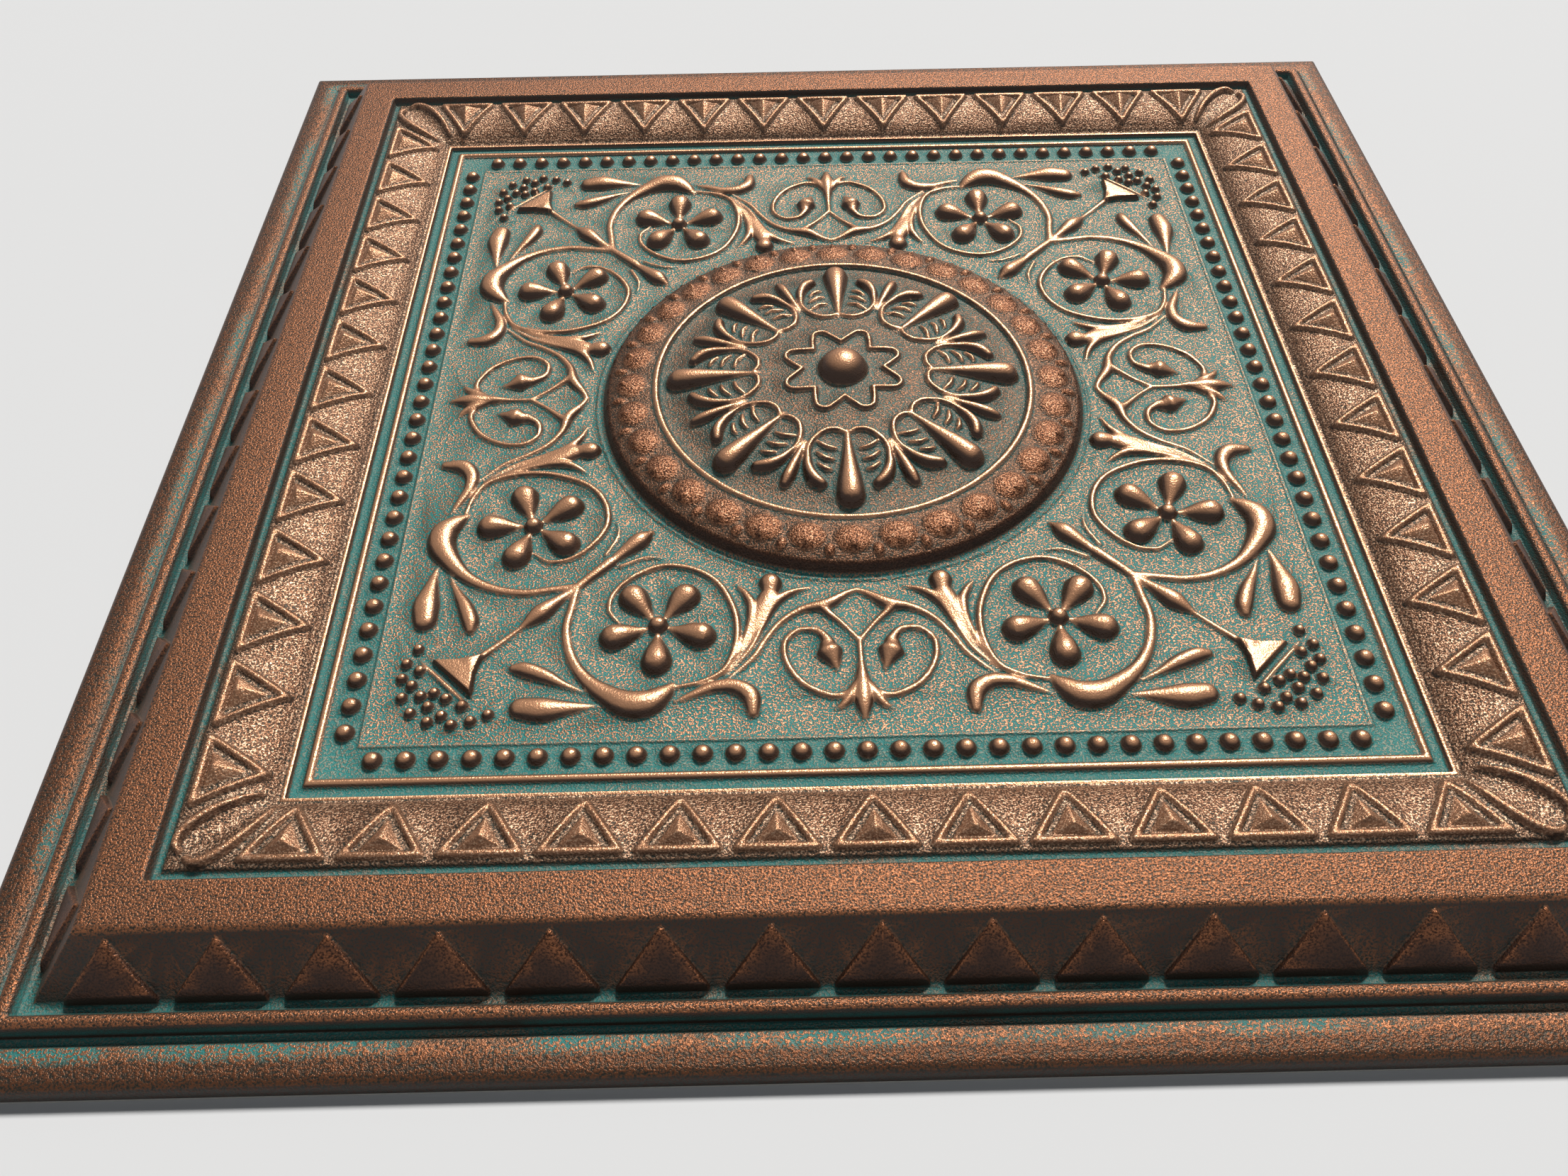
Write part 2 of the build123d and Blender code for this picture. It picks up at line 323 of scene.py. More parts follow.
@dataclass
class Bed:
    """The plain form under the ornaments: the frame's section and the medallion's dome."""

    section: Section
    dome: Dome

    def terrace(
        self, face: bpy.types.Object, outline: Sequence[Point], name: str
    ) -> bpy.types.Object:
        """Turns a flat face into a stepped form by insetting it along a section.

        Args:
            face: a one-face object whose outside is the section's first point.
            outline: the section, each point a distance from the middle and a height.
            name: the finished object's name.

        Returns:
            The stepped form.
        """
        activate(face)
        bpy.ops.object.mode_set(mode="EDIT")
        bpy.ops.mesh.select_all(action="SELECT")
        for (d_out, z_out), (d_in, z_in) in zip(outline, outline[1:]):
            bpy.ops.mesh.inset(
                thickness=(d_out - d_in) * MM, depth=(z_in - z_out) * MM, use_even_offset=True
            )
        bpy.ops.object.mode_set(mode="OBJECT")
        face.name = face.data.name = name
        return face

    def build(self) -> list[bpy.types.Object]:
        """Builds both forms.

        Returns:
            The square frame with its field, and the round medallion.
        """
        square = self.section.outline()
        size, base = 2 * square[0][0] * MM, (0, 0, square[0][1] * MM)
        bpy.ops.mesh.primitive_plane_add(size=size, location=base)
        frame = self.terrace(settle(bpy.context.object), square, "bed_frame")
        turned = self.dome.outline(self.section.floor_z)
        bpy.ops.mesh.primitive_circle_add(
            vertices=self.dome.sides,
            radius=turned[0][0] * MM,
            fill_type="NGON",
            location=(0, 0, turned[0][1] * MM),
        )
        medallion = self.terrace(settle(bpy.context.object), turned, "bed_medallion")
        return [frame, medallion]


@dataclass
class Stroke:
    """A tapering round bar through dots, such as a stem, a leaf or a drop.

    Attributes:
        dots: the bar's points in plan with its radius at each.
        flat: the bar's height as a share of its width.
        sunk: how far its axis lies under the surface.
        smooth: whether it bends smoothly through its dots.
    """

    dots: Sequence[Bead]
    flat: float = 1.0
    sunk: float = 0.0
    smooth: bool = True
    steps: int = 6
    facets: int = 5
    least: float = 0.15

    def path(self) -> np.ndarray:
        """The dots with points between them on a smooth line.

        Returns:
            Rows of place and radius.
        """
        dots = np.array(self.dots, float)
        ends = np.vstack([2 * dots[0] - dots[1], dots, 2 * dots[-1] - dots[-2]])
        line = []
        for a, b, c, d in zip(ends, ends[1:], ends[2:], ends[3:]):
            for t in np.arange(self.steps) / self.steps:
                bend = (2 * a - 5 * b + 4 * c - d) * t**2 + (3 * b - a - 3 * c + d) * t**3
                line.append(b + 0.5 * ((c - a) * t + bend) if self.smooth else b + (c - b) * t)
        line.append(dots[-1])
        path = np.array(line)
        path[:, 2] = np.maximum(path[:, 2], self.least)
        return path

    def cap(self, inner: np.ndarray, tip: np.ndarray) -> np.ndarray:
        """Points that round off one end of the bar.

        Args:
            inner: the dot next to the end.
            tip: the end's dot.

        Returns:
            The cap's rows, from its pole inwards.
        """
        ahead = (tip[:2] - inner[:2]) / (hypot(*(tip[:2] - inner[:2])) or 1.0)
        turns = np.radians([88, 70, 50, 25])
        reach = np.outer(np.sin(turns), ahead) * tip[2]
        return np.column_stack([tip[:2] + reach, tip[2] * np.cos(turns)])

    def build(self, name: str, surface: Surface) -> bpy.types.Object:
        """Builds the bar as a bevelled curve with round ends, made a mesh.

        Args:
            name: the object's name.
            surface: the height of what the bar lies on.

        Returns:
            The bar.
        """
        path = self.path()
        path = np.vstack([self.cap(path[1], path[0]), path, self.cap(path[-2], path[-1])[::-1]])
        bpy.ops.curve.primitive_nurbs_path_add(location=(0, 0, 0))
        bar = bpy.context.object
        bar.name = name
        bar.data.splines.clear()
        spline = bar.data.splines.new("POLY")
        spline.points.add(len(path) - 1)
        for point, (x, y, r) in zip(spline.points, path):
            point.co = (x * MM, y * MM, 0, 1)
            point.radius = r
        bar.data.dimensions = "3D"
        bar.data.bevel_depth = MM
        bar.data.bevel_resolution = self.facets
        bar.data.use_fill_caps = True
        activate(bar)
        bpy.ops.object.convert(target="MESH")
        bar = bpy.context.object
        co = vertices(bar)
        owner = np.argmin(((co[:, None, :2] / MM - path[None, :, :2]) ** 2).sum(-1), axis=1)
        lift = np.array([surface(x, y) for x, y, _ in path])[owner] - self.sunk
        co[:, 2] = co[:, 2] * self.flat + lift * MM
        set_vertices(bar, co)
        return bar


@dataclass
class Plate:
    """A flat plate with softened edges, such as a wall facet or the corner cup.

    Attributes:
        corners: its outline.
        thickness: its height above the surface it lies on.
        soft: the radius of its edges.
    """

    corners: Sequence[Point]
    thickness: float
    soft: float = 0.4

    def build(self, name: str, place: Matrix) -> bpy.types.Object:
        """Builds the plate as a filled flat curve, made a mesh.

        Args:
            name: the object's name.
            place: where its lower face's frame lies, in millimetres.

        Returns:
            The plate.
        """
        bpy.ops.curve.primitive_bezier_circle_add(location=(0, 0, 0))
        plate = bpy.context.object
        plate.name = name
        plate.data.splines.clear()
        spline = plate.data.splines.new("POLY")
        spline.points.add(len(self.corners) - 1)
        for point, (x, y) in zip(spline.points, self.corners):
            point.co = (x, y, 0, 1)
        spline.use_cyclic_u = True
        plate.data.dimensions = "2D"
        plate.data.fill_mode = "BOTH"
        plate.data.extrude = self.thickness - self.soft
        plate.data.bevel_depth = self.soft
        plate.data.bevel_resolution = 3
        plate.data.offset = -self.soft
        plate.matrix_world = Matrix.Scale(MM, 4) @ place
        activate(plate)
        bpy.ops.object.convert(target="MESH")
        return settle(bpy.context.object)


def boss(centre: Bead, half: Bead, name: str) -> bpy.types.Object:
    """Adds a round boss.

    Args:
        centre: its middle.
        half: its half widths.
        name: its name.

    Returns:
        The boss.
    """
    place = tuple(v * MM for v in centre)
    bpy.ops.mesh.primitive_uv_sphere_add(
        segments=28, ring_count=18, radius=MM, location=place, scale=half
    )
    bpy.context.object.name = name
    return settle(bpy.context.object)


def copies(piece: bpy.types.Object, turns: Sequence[Matrix]) -> list[bpy.types.Object]:
    """Copies a piece, each copy with its own mesh.

    Args:
        piece: the piece, which is kept as it is.
        turns: where each copy goes, as a matrix on the piece's own place.

    Returns:
        The copies.
    """
    made = []
    for turn in turns:
        twin = piece.copy()
        twin.data = piece.data.copy()
        twin.data.transform(turn)
        bpy.context.collection.objects.link(twin)
        made.append(twin)
    return made


@dataclass
class FrameRelief:
    """What stands on the frame along one side, from the left corner to the middle."""

    section: Section
    bead_d: float = 157.0
    bead_r: float = 3.1
    bead_pitch: float = 9.8
    bead_half_count: int = 15
    wall_pitch: float = 29.3
    wall_base: float = 25.0
    wall_foot: float = 1.4
    wall_tip: float = 18.5
    wall_h: float = 1.1
    wall_lean: float = 4.0
    wall_half_count: int = 7
    cove_pitch: float = 27.3
    cove_base: float = 24.2
    cove_foot_d: float = 194.0
    cove_tip_d: float = 173.0
    cove_line: float = 1.15
    cove_foot_share: float = 1.15
    cove_up: float = 0.5
    cove_half_count: int = 6
    heart_half: float = 7.6
    heart_foot_d: float = 191.6
    heart_tip_d: float = 177.8
    heart_h: float = 3.9
    heart_apex: float = 0.22
    heart_sunk: float = 0.3

    def beads(self) -> list[bpy.types.Object]:
        """The row of beads in its channel.

        Returns:
            Every bead.
        """
        first = boss((0, -self.bead_d, self.section.floor_z), (self.bead_r,) * 3, "bead")
        steps = [-self.bead_pitch * i * MM for i in range(1, self.bead_half_count + 1)]
        return [first, *copies(first, [Matrix.Translation((step, 0, 0)) for step in steps])]

    def wall_facets(self) -> list[bpy.types.Object]:
        """The raised triangles of the outer wall.

        Returns:
            Every triangle.
        """
        run = self.section.wall_foot_d - self.section.rim_out_d
        rise = self.section.rim_z - self.section.wall_foot_z
        up = Vector((0, run, rise)).normalized()
        out = Vector((0, -rise, run)).normalized()
        across = Vector((1, 0, 0))
        place = Matrix((across, up, out)).transposed().to_4x4()
        place.translation = (0, -self.section.wall_foot_d, self.section.wall_foot_z)
        hinge = Matrix.Translation((0, self.wall_tip, 0))
        place = place @ hinge @ Matrix.Rotation(radians(-self.wall_lean), 4, "X") @ hinge.inverted()
        half = self.wall_base / 2
        corners = [(-half, self.wall_foot), (half, self.wall_foot), (0, self.wall_tip)]
        first = Plate(corners, self.wall_h).build("wall_facet", place)
        steps = [-self.wall_pitch * i * MM for i in range(1, self.wall_half_count + 1)]
        return [first, *copies(first, [Matrix.Translation((step, 0, 0)) for step in steps])]

    def cove_triangle(self) -> bpy.types.Object:
        """One triangle of the cove: a raised outline round a three-sided heart.

        Returns:
            The triangle.
        """
        half = self.cove_base / 2 - self.cove_line
        foot, tip = -self.cove_foot_d + self.cove_line, -self.cove_tip_d - 2 * self.cove_line
        corners = [(-half, foot), (half, foot), (0.0, tip), (-half, foot)]
        lines = []
        for i, (a, b) in enumerate(zip(corners, corners[1:])):
            thick = self.cove_line * (self.cove_foot_share if i == 0 else 1.0)
            bar = Stroke([(*a, thick), (*b, thick)], smooth=False, steps=9, sunk=-self.cove_up)
            lines.append(bar.build("cove_line", self.section.height))
        bpy.ops.mesh.primitive_cone_add(vertices=3, radius1=1, depth=1, location=(0, 0, 0))
        heart = bpy.context.object
        apex_d = self.heart_foot_d + (self.heart_tip_d - self.heart_foot_d) * self.heart_apex
        feet = [
            (-self.heart_half, -self.heart_foot_d),
            (self.heart_half, -self.heart_foot_d),
            (0.0, -self.heart_tip_d),
        ]
        rise = self.section.height(0, apex_d) + self.heart_h
        low = [(x, y, self.section.height(x, y) - self.heart_sunk) for x, y in feet]
        co = np.array([*low, (0, -apex_d, rise)])
        order = np.argsort(vertices(heart)[:, 2])
        fresh = np.empty((4, 3))
        fresh[order] = co * MM
        set_vertices(heart, fresh)
        return join([heart, *lines], "cove_triangle")

    def corner_lines(self) -> bpy.types.Object:
        """The leaf line in the cove beside the corner.

        Returns:
            The line.
        """
        dots = [
            (-170.4, -175.2, 0.7),
            (-172.9, -180.3, 1.2),
            (-176.7, -186.0, 1.5),
            (-180.5, -190.3, 1.6),
            (-184.4, -193.0, 1.5),
            (-187.6, -193.7, 1.4),
            (-190.0, -192.2, 0.9),
        ]
        return Stroke(dots, sunk=-0.8).build("corner_line", self.section.height)

    def build(self) -> list[bpy.types.Object]:
        """Builds the side's relief.

        Returns:
            Every piece of it.
        """
        first = self.cove_triangle()
        steps = [-self.cove_pitch * i * MM for i in range(1, self.cove_half_count + 1)]
        triangles = copies(first, [Matrix.Translation((step, 0, 0)) for step in steps])
        return [*self.beads(), *self.wall_facets(), first, *triangles, self.corner_lines()]


@dataclass
class Scrollwork:
    """Stems, leaves, flower and corner cup of the field, from its front axis to its diagonal."""

    section: Section
    flower: Point = (-64.2, -108.5)
    petals: int = 5
    petal_sunk: float = 0.6
    hub_r: float = 3.2
    hub_up: float = 0.4
    cup_h: float = 2.3
    cup_soft: float = 0.6
    berry_r: float = 1.9
    berry_up: float = 0.5

    def stems(self) -> dict[str, Stroke]:
        """The long bars.

        Returns:
            The bars by name.
        """
        ring = [
            (-57.4, -132.6, 0.9),
            (-49.3, -130.7, 1.1),
            (-42.5, -126.0, 1.25),
            (-39.0, -115.3, 1.35),
            (-39.6, -104.0, 1.35),
            (-44.7, -91.9, 1.25),
            (-52.7, -85.3, 1.25),
            (-62.9, -83.2, 1.25),
            (-72.0, -86.9, 1.25),
            (-78.8, -93.9, 1.1),
            (-80.4, -101.5, 1.0),
            (-76.4, -107.6, 0.7),
        ]
        main = [
            (-91.4, -92.0, 1.6),
            (-92.6, -100.5, 1.6),
            (-93.6, -109.6, 1.7),
            (-91.3, -119.9, 1.9),
            (-86.2, -128.6, 2.4),
            (-79.5, -134.6, 3.6),
            (-72.6, -138.6, 4.9),
            (-66.4, -138.6, 4.9),
            (-61.5, -135.0, 3.3),
            (-58.8, -131.8, 1.3),
        ]
        arch = [
            (-42.2, -130.4, 0.7),
            (-33.9, -122.1, 1.1),
            (-29.4, -114.2, 1.2),
            (-24.3, -107.4, 1.3),
            (-17.5, -102.9, 1.6),
            (-9.8, -101.1, 2.3),
            (-4.2, -97.2, 1.5),
            (0.0, -95.2, 1.2),
        ]
        curl = [
            (-1.8, -133.0, 0.8),
            (-5.0, -136.2, 1.2),
            (-9.8, -137.2, 1.3),
            (-18.2, -132.6, 1.3),
            (-23.2, -124.4, 1.2),
            (-23.8, -116.5, 1.2),
            (-19.4, -111.5, 1.2),
            (-13.2, -112.0, 1.4),
            (-9.8, -116.6, 2.0),
        ]
        vee = [(-11.4, -102.4, 1.9), (-8.8, -105.4, 1.4), (-4.2, -110.4, 1.1), (0.2, -116.4, 1.0)]
        tendril = [
            (-83.0, -77.8, 0.9),
            (-80.0, -71.6, 0.9),
            (-79.2, -67.4, 0.8),
            (-80.0, -63.2, 0.5),
        ]
        return {
            "ring": Stroke(ring, flat=1.15),
            "main": Stroke(main, flat=0.8),
            "arch": Stroke(arch),
            "curl": Stroke(curl, flat=1.1),
            "vee": Stroke(vee, flat=1.1),
            "tendril": Stroke(tendril, flat=1.1),
        }

    def leaves(self) -> dict[str, Stroke]:
        """The short tapering bars.

        Returns:
            The bars by name.
        """
        hook = [
            (-58.4, -138.2, 0.6),
            (-51.5, -135.2, 1.7),
            (-45.5, -132.8, 2.3),
            (-39.4, -132.9, 2.8),
            (-34.8, -136.4, 3.1),
            (-33.9, -142.8, 2.0),
        ]
        trumpet_left = [
            (-46.0, -129.2, 0.6),
            (-39.0, -121.0, 1.0),
            (-35.4, -111.0, 1.3),
            (-34.0, -102.0, 1.9),
            (-36.2, -96.0, 1.4),
            (-39.2, -92.0, 0.5),
        ]
        trumpet_body = [
            (-41.6, -127.4, 0.5),
            (-34.8, -114.5, 1.3),
            (-31.4, -104.5, 3.0),
            (-28.6, -98.2, 3.9),
        ]
        trumpet_right = [
            (-42.5, -128.6, 0.6),
            (-35.0, -119.0, 1.0),
            (-30.4, -108.5, 1.3),
            (-26.9, -100.4, 1.9),
            (-21.6, -96.0, 1.5),
            (-14.8, -93.6, 0.5),
        ]
        bud = [(-28.4, -98.0, 1.6), (-28.1, -94.6, 3.2), (-28.0, -91.7, 3.9)]
        curl_bud = [
            (-10.2, -118.0, 2.8),
            (-9.6, -120.6, 4.2),
            (-8.4, -124.0, 2.4),
            (-7.4, -127.6, 0.6),
        ]
        lily_side = [
            (-0.8, -131.0, 1.4),
            (-3.4, -136.4, 2.0),
            (-6.0, -140.2, 1.5),
            (-8.9, -142.2, 0.5),
        ]
        upper_leaf = [
            (-83.9, -134.8, 0.4),
            (-92.5, -130.8, 1.5),
            (-98.6, -127.4, 2.6),
            (-105.0, -124.8, 2.9),
            (-108.4, -124.3, 2.0),
        ]
        lower_leaf = [
            (-80.6, -138.8, 0.4),
            (-90.0, -139.6, 2.6),
            (-98.0, -140.1, 4.5),
            (-104.6, -139.4, 4.0),
        ]
        return {
            "hook": Stroke(hook, flat=0.85),
            "trumpet_left": Stroke(trumpet_left, flat=1.1),
            "trumpet_body": Stroke(trumpet_body, flat=0.65),
            "trumpet_right": Stroke(trumpet_right, flat=1.1),
            "bud": Stroke(bud, flat=0.85),
            "curl_bud": Stroke(curl_bud, flat=0.85),
            "curl_tip": Stroke([(-10.0, -119.6, 2.2), (-14.2, -121.8, 0.5)], flat=0.9),
            "lily_side": Stroke(lily_side),
            "upper_leaf": Stroke(upper_leaf, flat=0.9),
            "lower_leaf": Stroke(lower_leaf, flat=0.75),
        }

    def spine(self) -> dict[str, Stroke]:
        """Bars on the diagonal.

        Returns:
            The bars by name.
        """
        diagonal = {
            "corner_stem": [(-94.0, 1.4), (-88.0, 1.9), (-81.0, 2.3)],
            "corner_leaf": [(-82.5, 1.2), (-76.5, 2.6), (-71.6, 3.5), (-68.0, 1.2)],
            "spindle": [(-91.0, 1.0), (-97.0, 2.2), (-102.6, 3.5), (-107.8, 1.2)],
            "cup_stem": [(-107.0, 1.1), (-113.0, 1.2), (-119.4, 1.6)],
        }
        bars = {}
        for name, dots in diagonal.items():
            bars[name] = Stroke([(v, v, r) for v, r in dots], flat=0.9)
        rim = [(-138.4, -120.6, 0.7), (-129.6, -129.6, 1.0), (-120.6, -138.4, 0.7)]
        bars["cup_ridge"] = Stroke(rim, flat=1.1)
        return bars

    def lily(self) -> dict[str, Stroke]:
        """Bars on the front axis.

        Returns:
            The bars by name.
        """
        bloom = [(0.0, -128.0, 1.6), (0.0, -134.0, 2.8), (0.0, -140.0, 2.9), (0.0, -145.6, 1.0)]
        stem = [(0.0, -115.2, 1.1), (0.0, -124.0, 1.2), (0.0, -130.0, 2.2)]
        return {"lily_stem": Stroke(stem), "lily": Stroke(bloom, flat=0.9)}

    def blossom(self) -> list[bpy.types.Object]:
        """The flower: a hub and its petals, each a drop.

        Returns:
            The hub and the petals.
        """
        x, y = self.flower
        pieces = [boss((x, y, self.section.floor_z + self.hub_up), (self.hub_r,) * 3, "hub")]
        shape = [(1.5, 0.8), (6.0, 2.2), (10.5, 4.2), (14.4, 5.2)]
        for i in range(self.petals):
            turn = radians(-90 + 360 * i / self.petals)
            dots = [(x + r * cos(turn), y + r * sin(turn), w) for r, w in shape]
            petal = Stroke(dots, sunk=self.petal_sunk)
            pieces.append(petal.build("petal", self.section.height))
        return pieces

    def berries(self) -> list[bpy.types.Object]:
        """The heap of berries under the corner cup.

        Returns:
            Every berry.
        """
        places = [
            (-139.6, -115.9),
            (-142.5, -121.6),
            (-137.9, -124.4),
            (-143.0, -127.3),
            (-139.6, -130.0),
            (-136.2, -134.0),
            (-141.9, -134.6),
            (-132.2, -132.9),
            (-133.4, -138.0),
            (-128.3, -135.2),
            (-138.5, -140.3),
            (-128.8, -141.5),
            (-123.0, -138.0),
            (-132.8, -143.7),
            (-125.4, -144.9),
            (-119.7, -143.7),
            (-114.6, -141.5),
        ]
        first = boss((0, 0, self.section.floor_z + self.berry_up), (self.berry_r,) * 3, "berry")
        made = copies(first, [Matrix.Translation((x * MM, y * MM, 0)) for x, y in places])
        bpy.data.objects.remove(first)
        return made

    def cup(self) -> bpy.types.Object:
        """The flat corner cup, a triangle with hollow sides.

        Returns:
            The cup.
        """
        foot, side, dip = -118.8, (-135.0, -120.4), 1.1
        waist = (foot + (side[0] - foot) * 0.5, foot + (side[1] - foot) * 0.5 - dip)
        arm = [side, waist]
        corners = [*arm, (foot, foot), *[(y, x) for x, y in arm[::-1]]]
        ground = Matrix.Translation((0, 0, self.section.floor_z))
        return Plate(corners, self.cup_h, self.cup_soft).build("cup", ground)

    def build(self) -> list[bpy.types.Object]:
        """Builds the ornaments between the front axis and the diagonal.

        Returns:
            Every piece of them.
        """
        bars = {**self.stems(), **self.leaves(), **self.lily()}
        made = [bar.build(name, self.section.height) for name, bar in bars.items()]
        return [*made, *self.blossom()]

    def corner(self) -> list[bpy.types.Object]:
        """Builds the ornaments on the diagonal.

        Returns:
            Every piece of them.
        """
        bars = [bar.build(name, self.section.height) for name, bar in self.spine().items()]
        return [*bars, *self.berries(), self.cup()]


@dataclass
class Rosette:
    """What stands on the medallion, over an eighth of it and one ornament more on each side."""

    dome: Dome
    drops: int = 8
    eggs: int = 32
    egg_at_r: float = 76.9
    egg_half: Bead = (8.1, 7.2, 3.2)
    egg_z: float = 18.2
    head_out: float = 4.2
    head_up: float = 2.4
    head_half: Bead = (1.1, 1.6, 1.3)
    dart_at_r: float = 82.4
    dart_down: float = 0.5
    dart_half: Bead = (2.1, 3.2, 2.2)
    dot_in: float = 1.6
    dot_down: float = 1.3
    dot_r: float = 0.7
    boss_r: float = 9.75
    boss_top_z: float = 33.0
    star_tip_r: float = 22.4
    star_notch_r: float = 14.8
    star_w: float = 1.1

    def surface(self, x: float, y: float) -> float:
        """Height of the dome under a place."""
        return self.dome.height(hypot(x, y))

    def spoke(self, r: float, angle: float, width: float) -> Bead:
        """A dot at a radius and an angle from the front axis, clockwise from above.

        Args:
            r: the radius.
            angle: the angle in degrees.
            width: the dot's radius.

        Returns:
            The dot.
        """
        turn = radians(-90 - angle)
        return (r * cos(turn), r * sin(turn), width)

    def drop(self) -> bpy.types.Object:
        """The drop on the front axis.

        Returns:
            The drop.
        """
        dots = [(30.5, 0.8), (38.0, 1.7), (46.0, 2.9), (54.0, 4.3), (60.2, 5.0)]
        bar = Stroke([(0.0, -r, w) for r, w in dots], facets=8, sunk=0.2)
        return bar.build("drop", self.surface)

    def palmette(self) -> list[bpy.types.Object]:
        """The leaves and feather strokes on one side of the drop.

        Returns:
            The bars.
        """
        loop = [
            (-0.6, -32.6, 1.0),
            (-3.2, -31.0, 1.15),
            (-7.2, -31.2, 1.2),
            (-11.2, -34.2, 1.2),
            (-13.8, -38.6, 1.2),
            (-14.4, -43.0, 1.2),
        ]
        leaf = [(-14.3, -42.0, 1.3), (-14.2, -47.2, 1.9), (-12.6, -52.0, 2.4), (-9.8, -55.0, 2.1)]
        feathers = [
            ((-10.4, -36.4), (-7.6, -38.8), (-4.2, -39.8)),
            ((-10.9, -41.2), (-8.2, -43.8), (-5.2, -44.6)),
            ((-10.6, -46.2), (-8.2, -48.4), (-6.2, -49.0)),
        ]
        half_pitch = 180 / self.drops
        spear = [(38.5, 0.7), (44.0, 1.4), (50.0, 2.1), (55.5, 2.4), (58.5, 1.9)]
        bars = [Stroke(loop, flat=1.3), Stroke(leaf, flat=1.3)]
        bars += [Stroke([(*a, 0.8), (*b, 1.1), (*c, 0.8)], flat=1.4) for a, b, c in feathers]
        bars.append(Stroke([self.spoke(r, half_pitch, w) for r, w in spear], flat=1.2))
        star = [
            (self.star_notch_r, 0.0),
            (self.star_tip_r - 3.6, half_pitch - 12.0),
            (self.star_tip_r - 0.7, half_pitch - 5.5),
            (self.star_tip_r, half_pitch),
        ]
        bars.append(Stroke([self.spoke(r, a, self.star_w) for r, a in star], flat=1.5))
        return [bar.build("palmette", self.surface) for bar in bars]

    def border(self) -> list[bpy.types.Object]:
        """The ring of eggs and darts over the front of the quarter and a little past its ends.

        Returns:
            Every egg, dart and dot of it.
        """
        pitch = 360 / self.eggs
        egg = boss((0, -self.egg_at_r, self.egg_z), self.egg_half, "egg")
        head_at = (0, -self.egg_at_r - self.head_out, self.egg_z + self.head_up)
        head = boss(head_at, self.head_half, "egg_head")
        dart = boss((0, -self.dart_at_r, self.dome.seat_z - self.dart_down), self.dart_half, "dart")
        dot_at = (0, -self.dome.wall_r + self.dot_in, self.dome.seat_z - self.dot_down)
        dots = [boss(dot_at, (self.dot_r,) * 3, "dot") for _ in range(2)]
        for piece in (dart, dots[1]):
            piece.data.transform(Matrix.Rotation(radians(pitch / 2), 4, "Z"))
        count = self.eggs // 4 + 2
        turns = [Matrix.Rotation(radians(-pitch * i), 4, "Z") for i in range(1, count)]
        ring = [egg, dart, head, *dots]
        for piece in list(ring):
            ring += copies(piece, turns)
        return ring

    def build(self) -> list[bpy.types.Object]:
        """Builds the medallion's ornaments.

        Returns:
            Every piece of them.
        """
        side = [self.drop(), *self.palmette()]
        mirror = [Matrix.Scale(-1, 4, (1, 0, 0))]
        side += [twin for piece in list(side[1:]) for twin in copies(piece, mirror)]
        eighth = join(side, "eighth")
        turns = [Matrix.Rotation(radians(-360 / self.drops * i), 4, "Z") for i in (1, 2)]
        top = boss((0, 0, self.boss_top_z - self.boss_r), (self.boss_r,) * 3, "boss")
        return [eighth, *copies(eighth, turns), *self.border(), top]


@dataclass
class Die:
    """Everything the sheet is pressed over: the plain bed, and the ornaments of one quarter."""

    section: Section
    dome: Dome

    def build(self) -> tuple[bpy.types.Object, bpy.types.Object]:
        """Builds the die.

        Returns:
            The plain bed, and the bed with its ornaments.
        """
        bed = join(Bed(self.section, self.dome).build(), "bed")
        octant = [*FrameRelief(self.section).build(), *Scrollwork(self.section).build()]
        swap = Matrix(((0, 1, 0, 0), (1, 0, 0, 0), (0, 0, 1, 0), (0, 0, 0, 1)))
        mirrored = [twin for piece in octant for twin in copies(piece, [swap])]
        corner = Scrollwork(self.section).corner()
        rosette = Rosette(self.dome).build()
        plain = copies(bed, [Matrix.Identity(4)])
        whole = join([*plain, *octant, *mirrored, *corner, *rosette], "die")
        LOG.info("die: %d faces", len(whole.data.polygons))
        return bed, whole


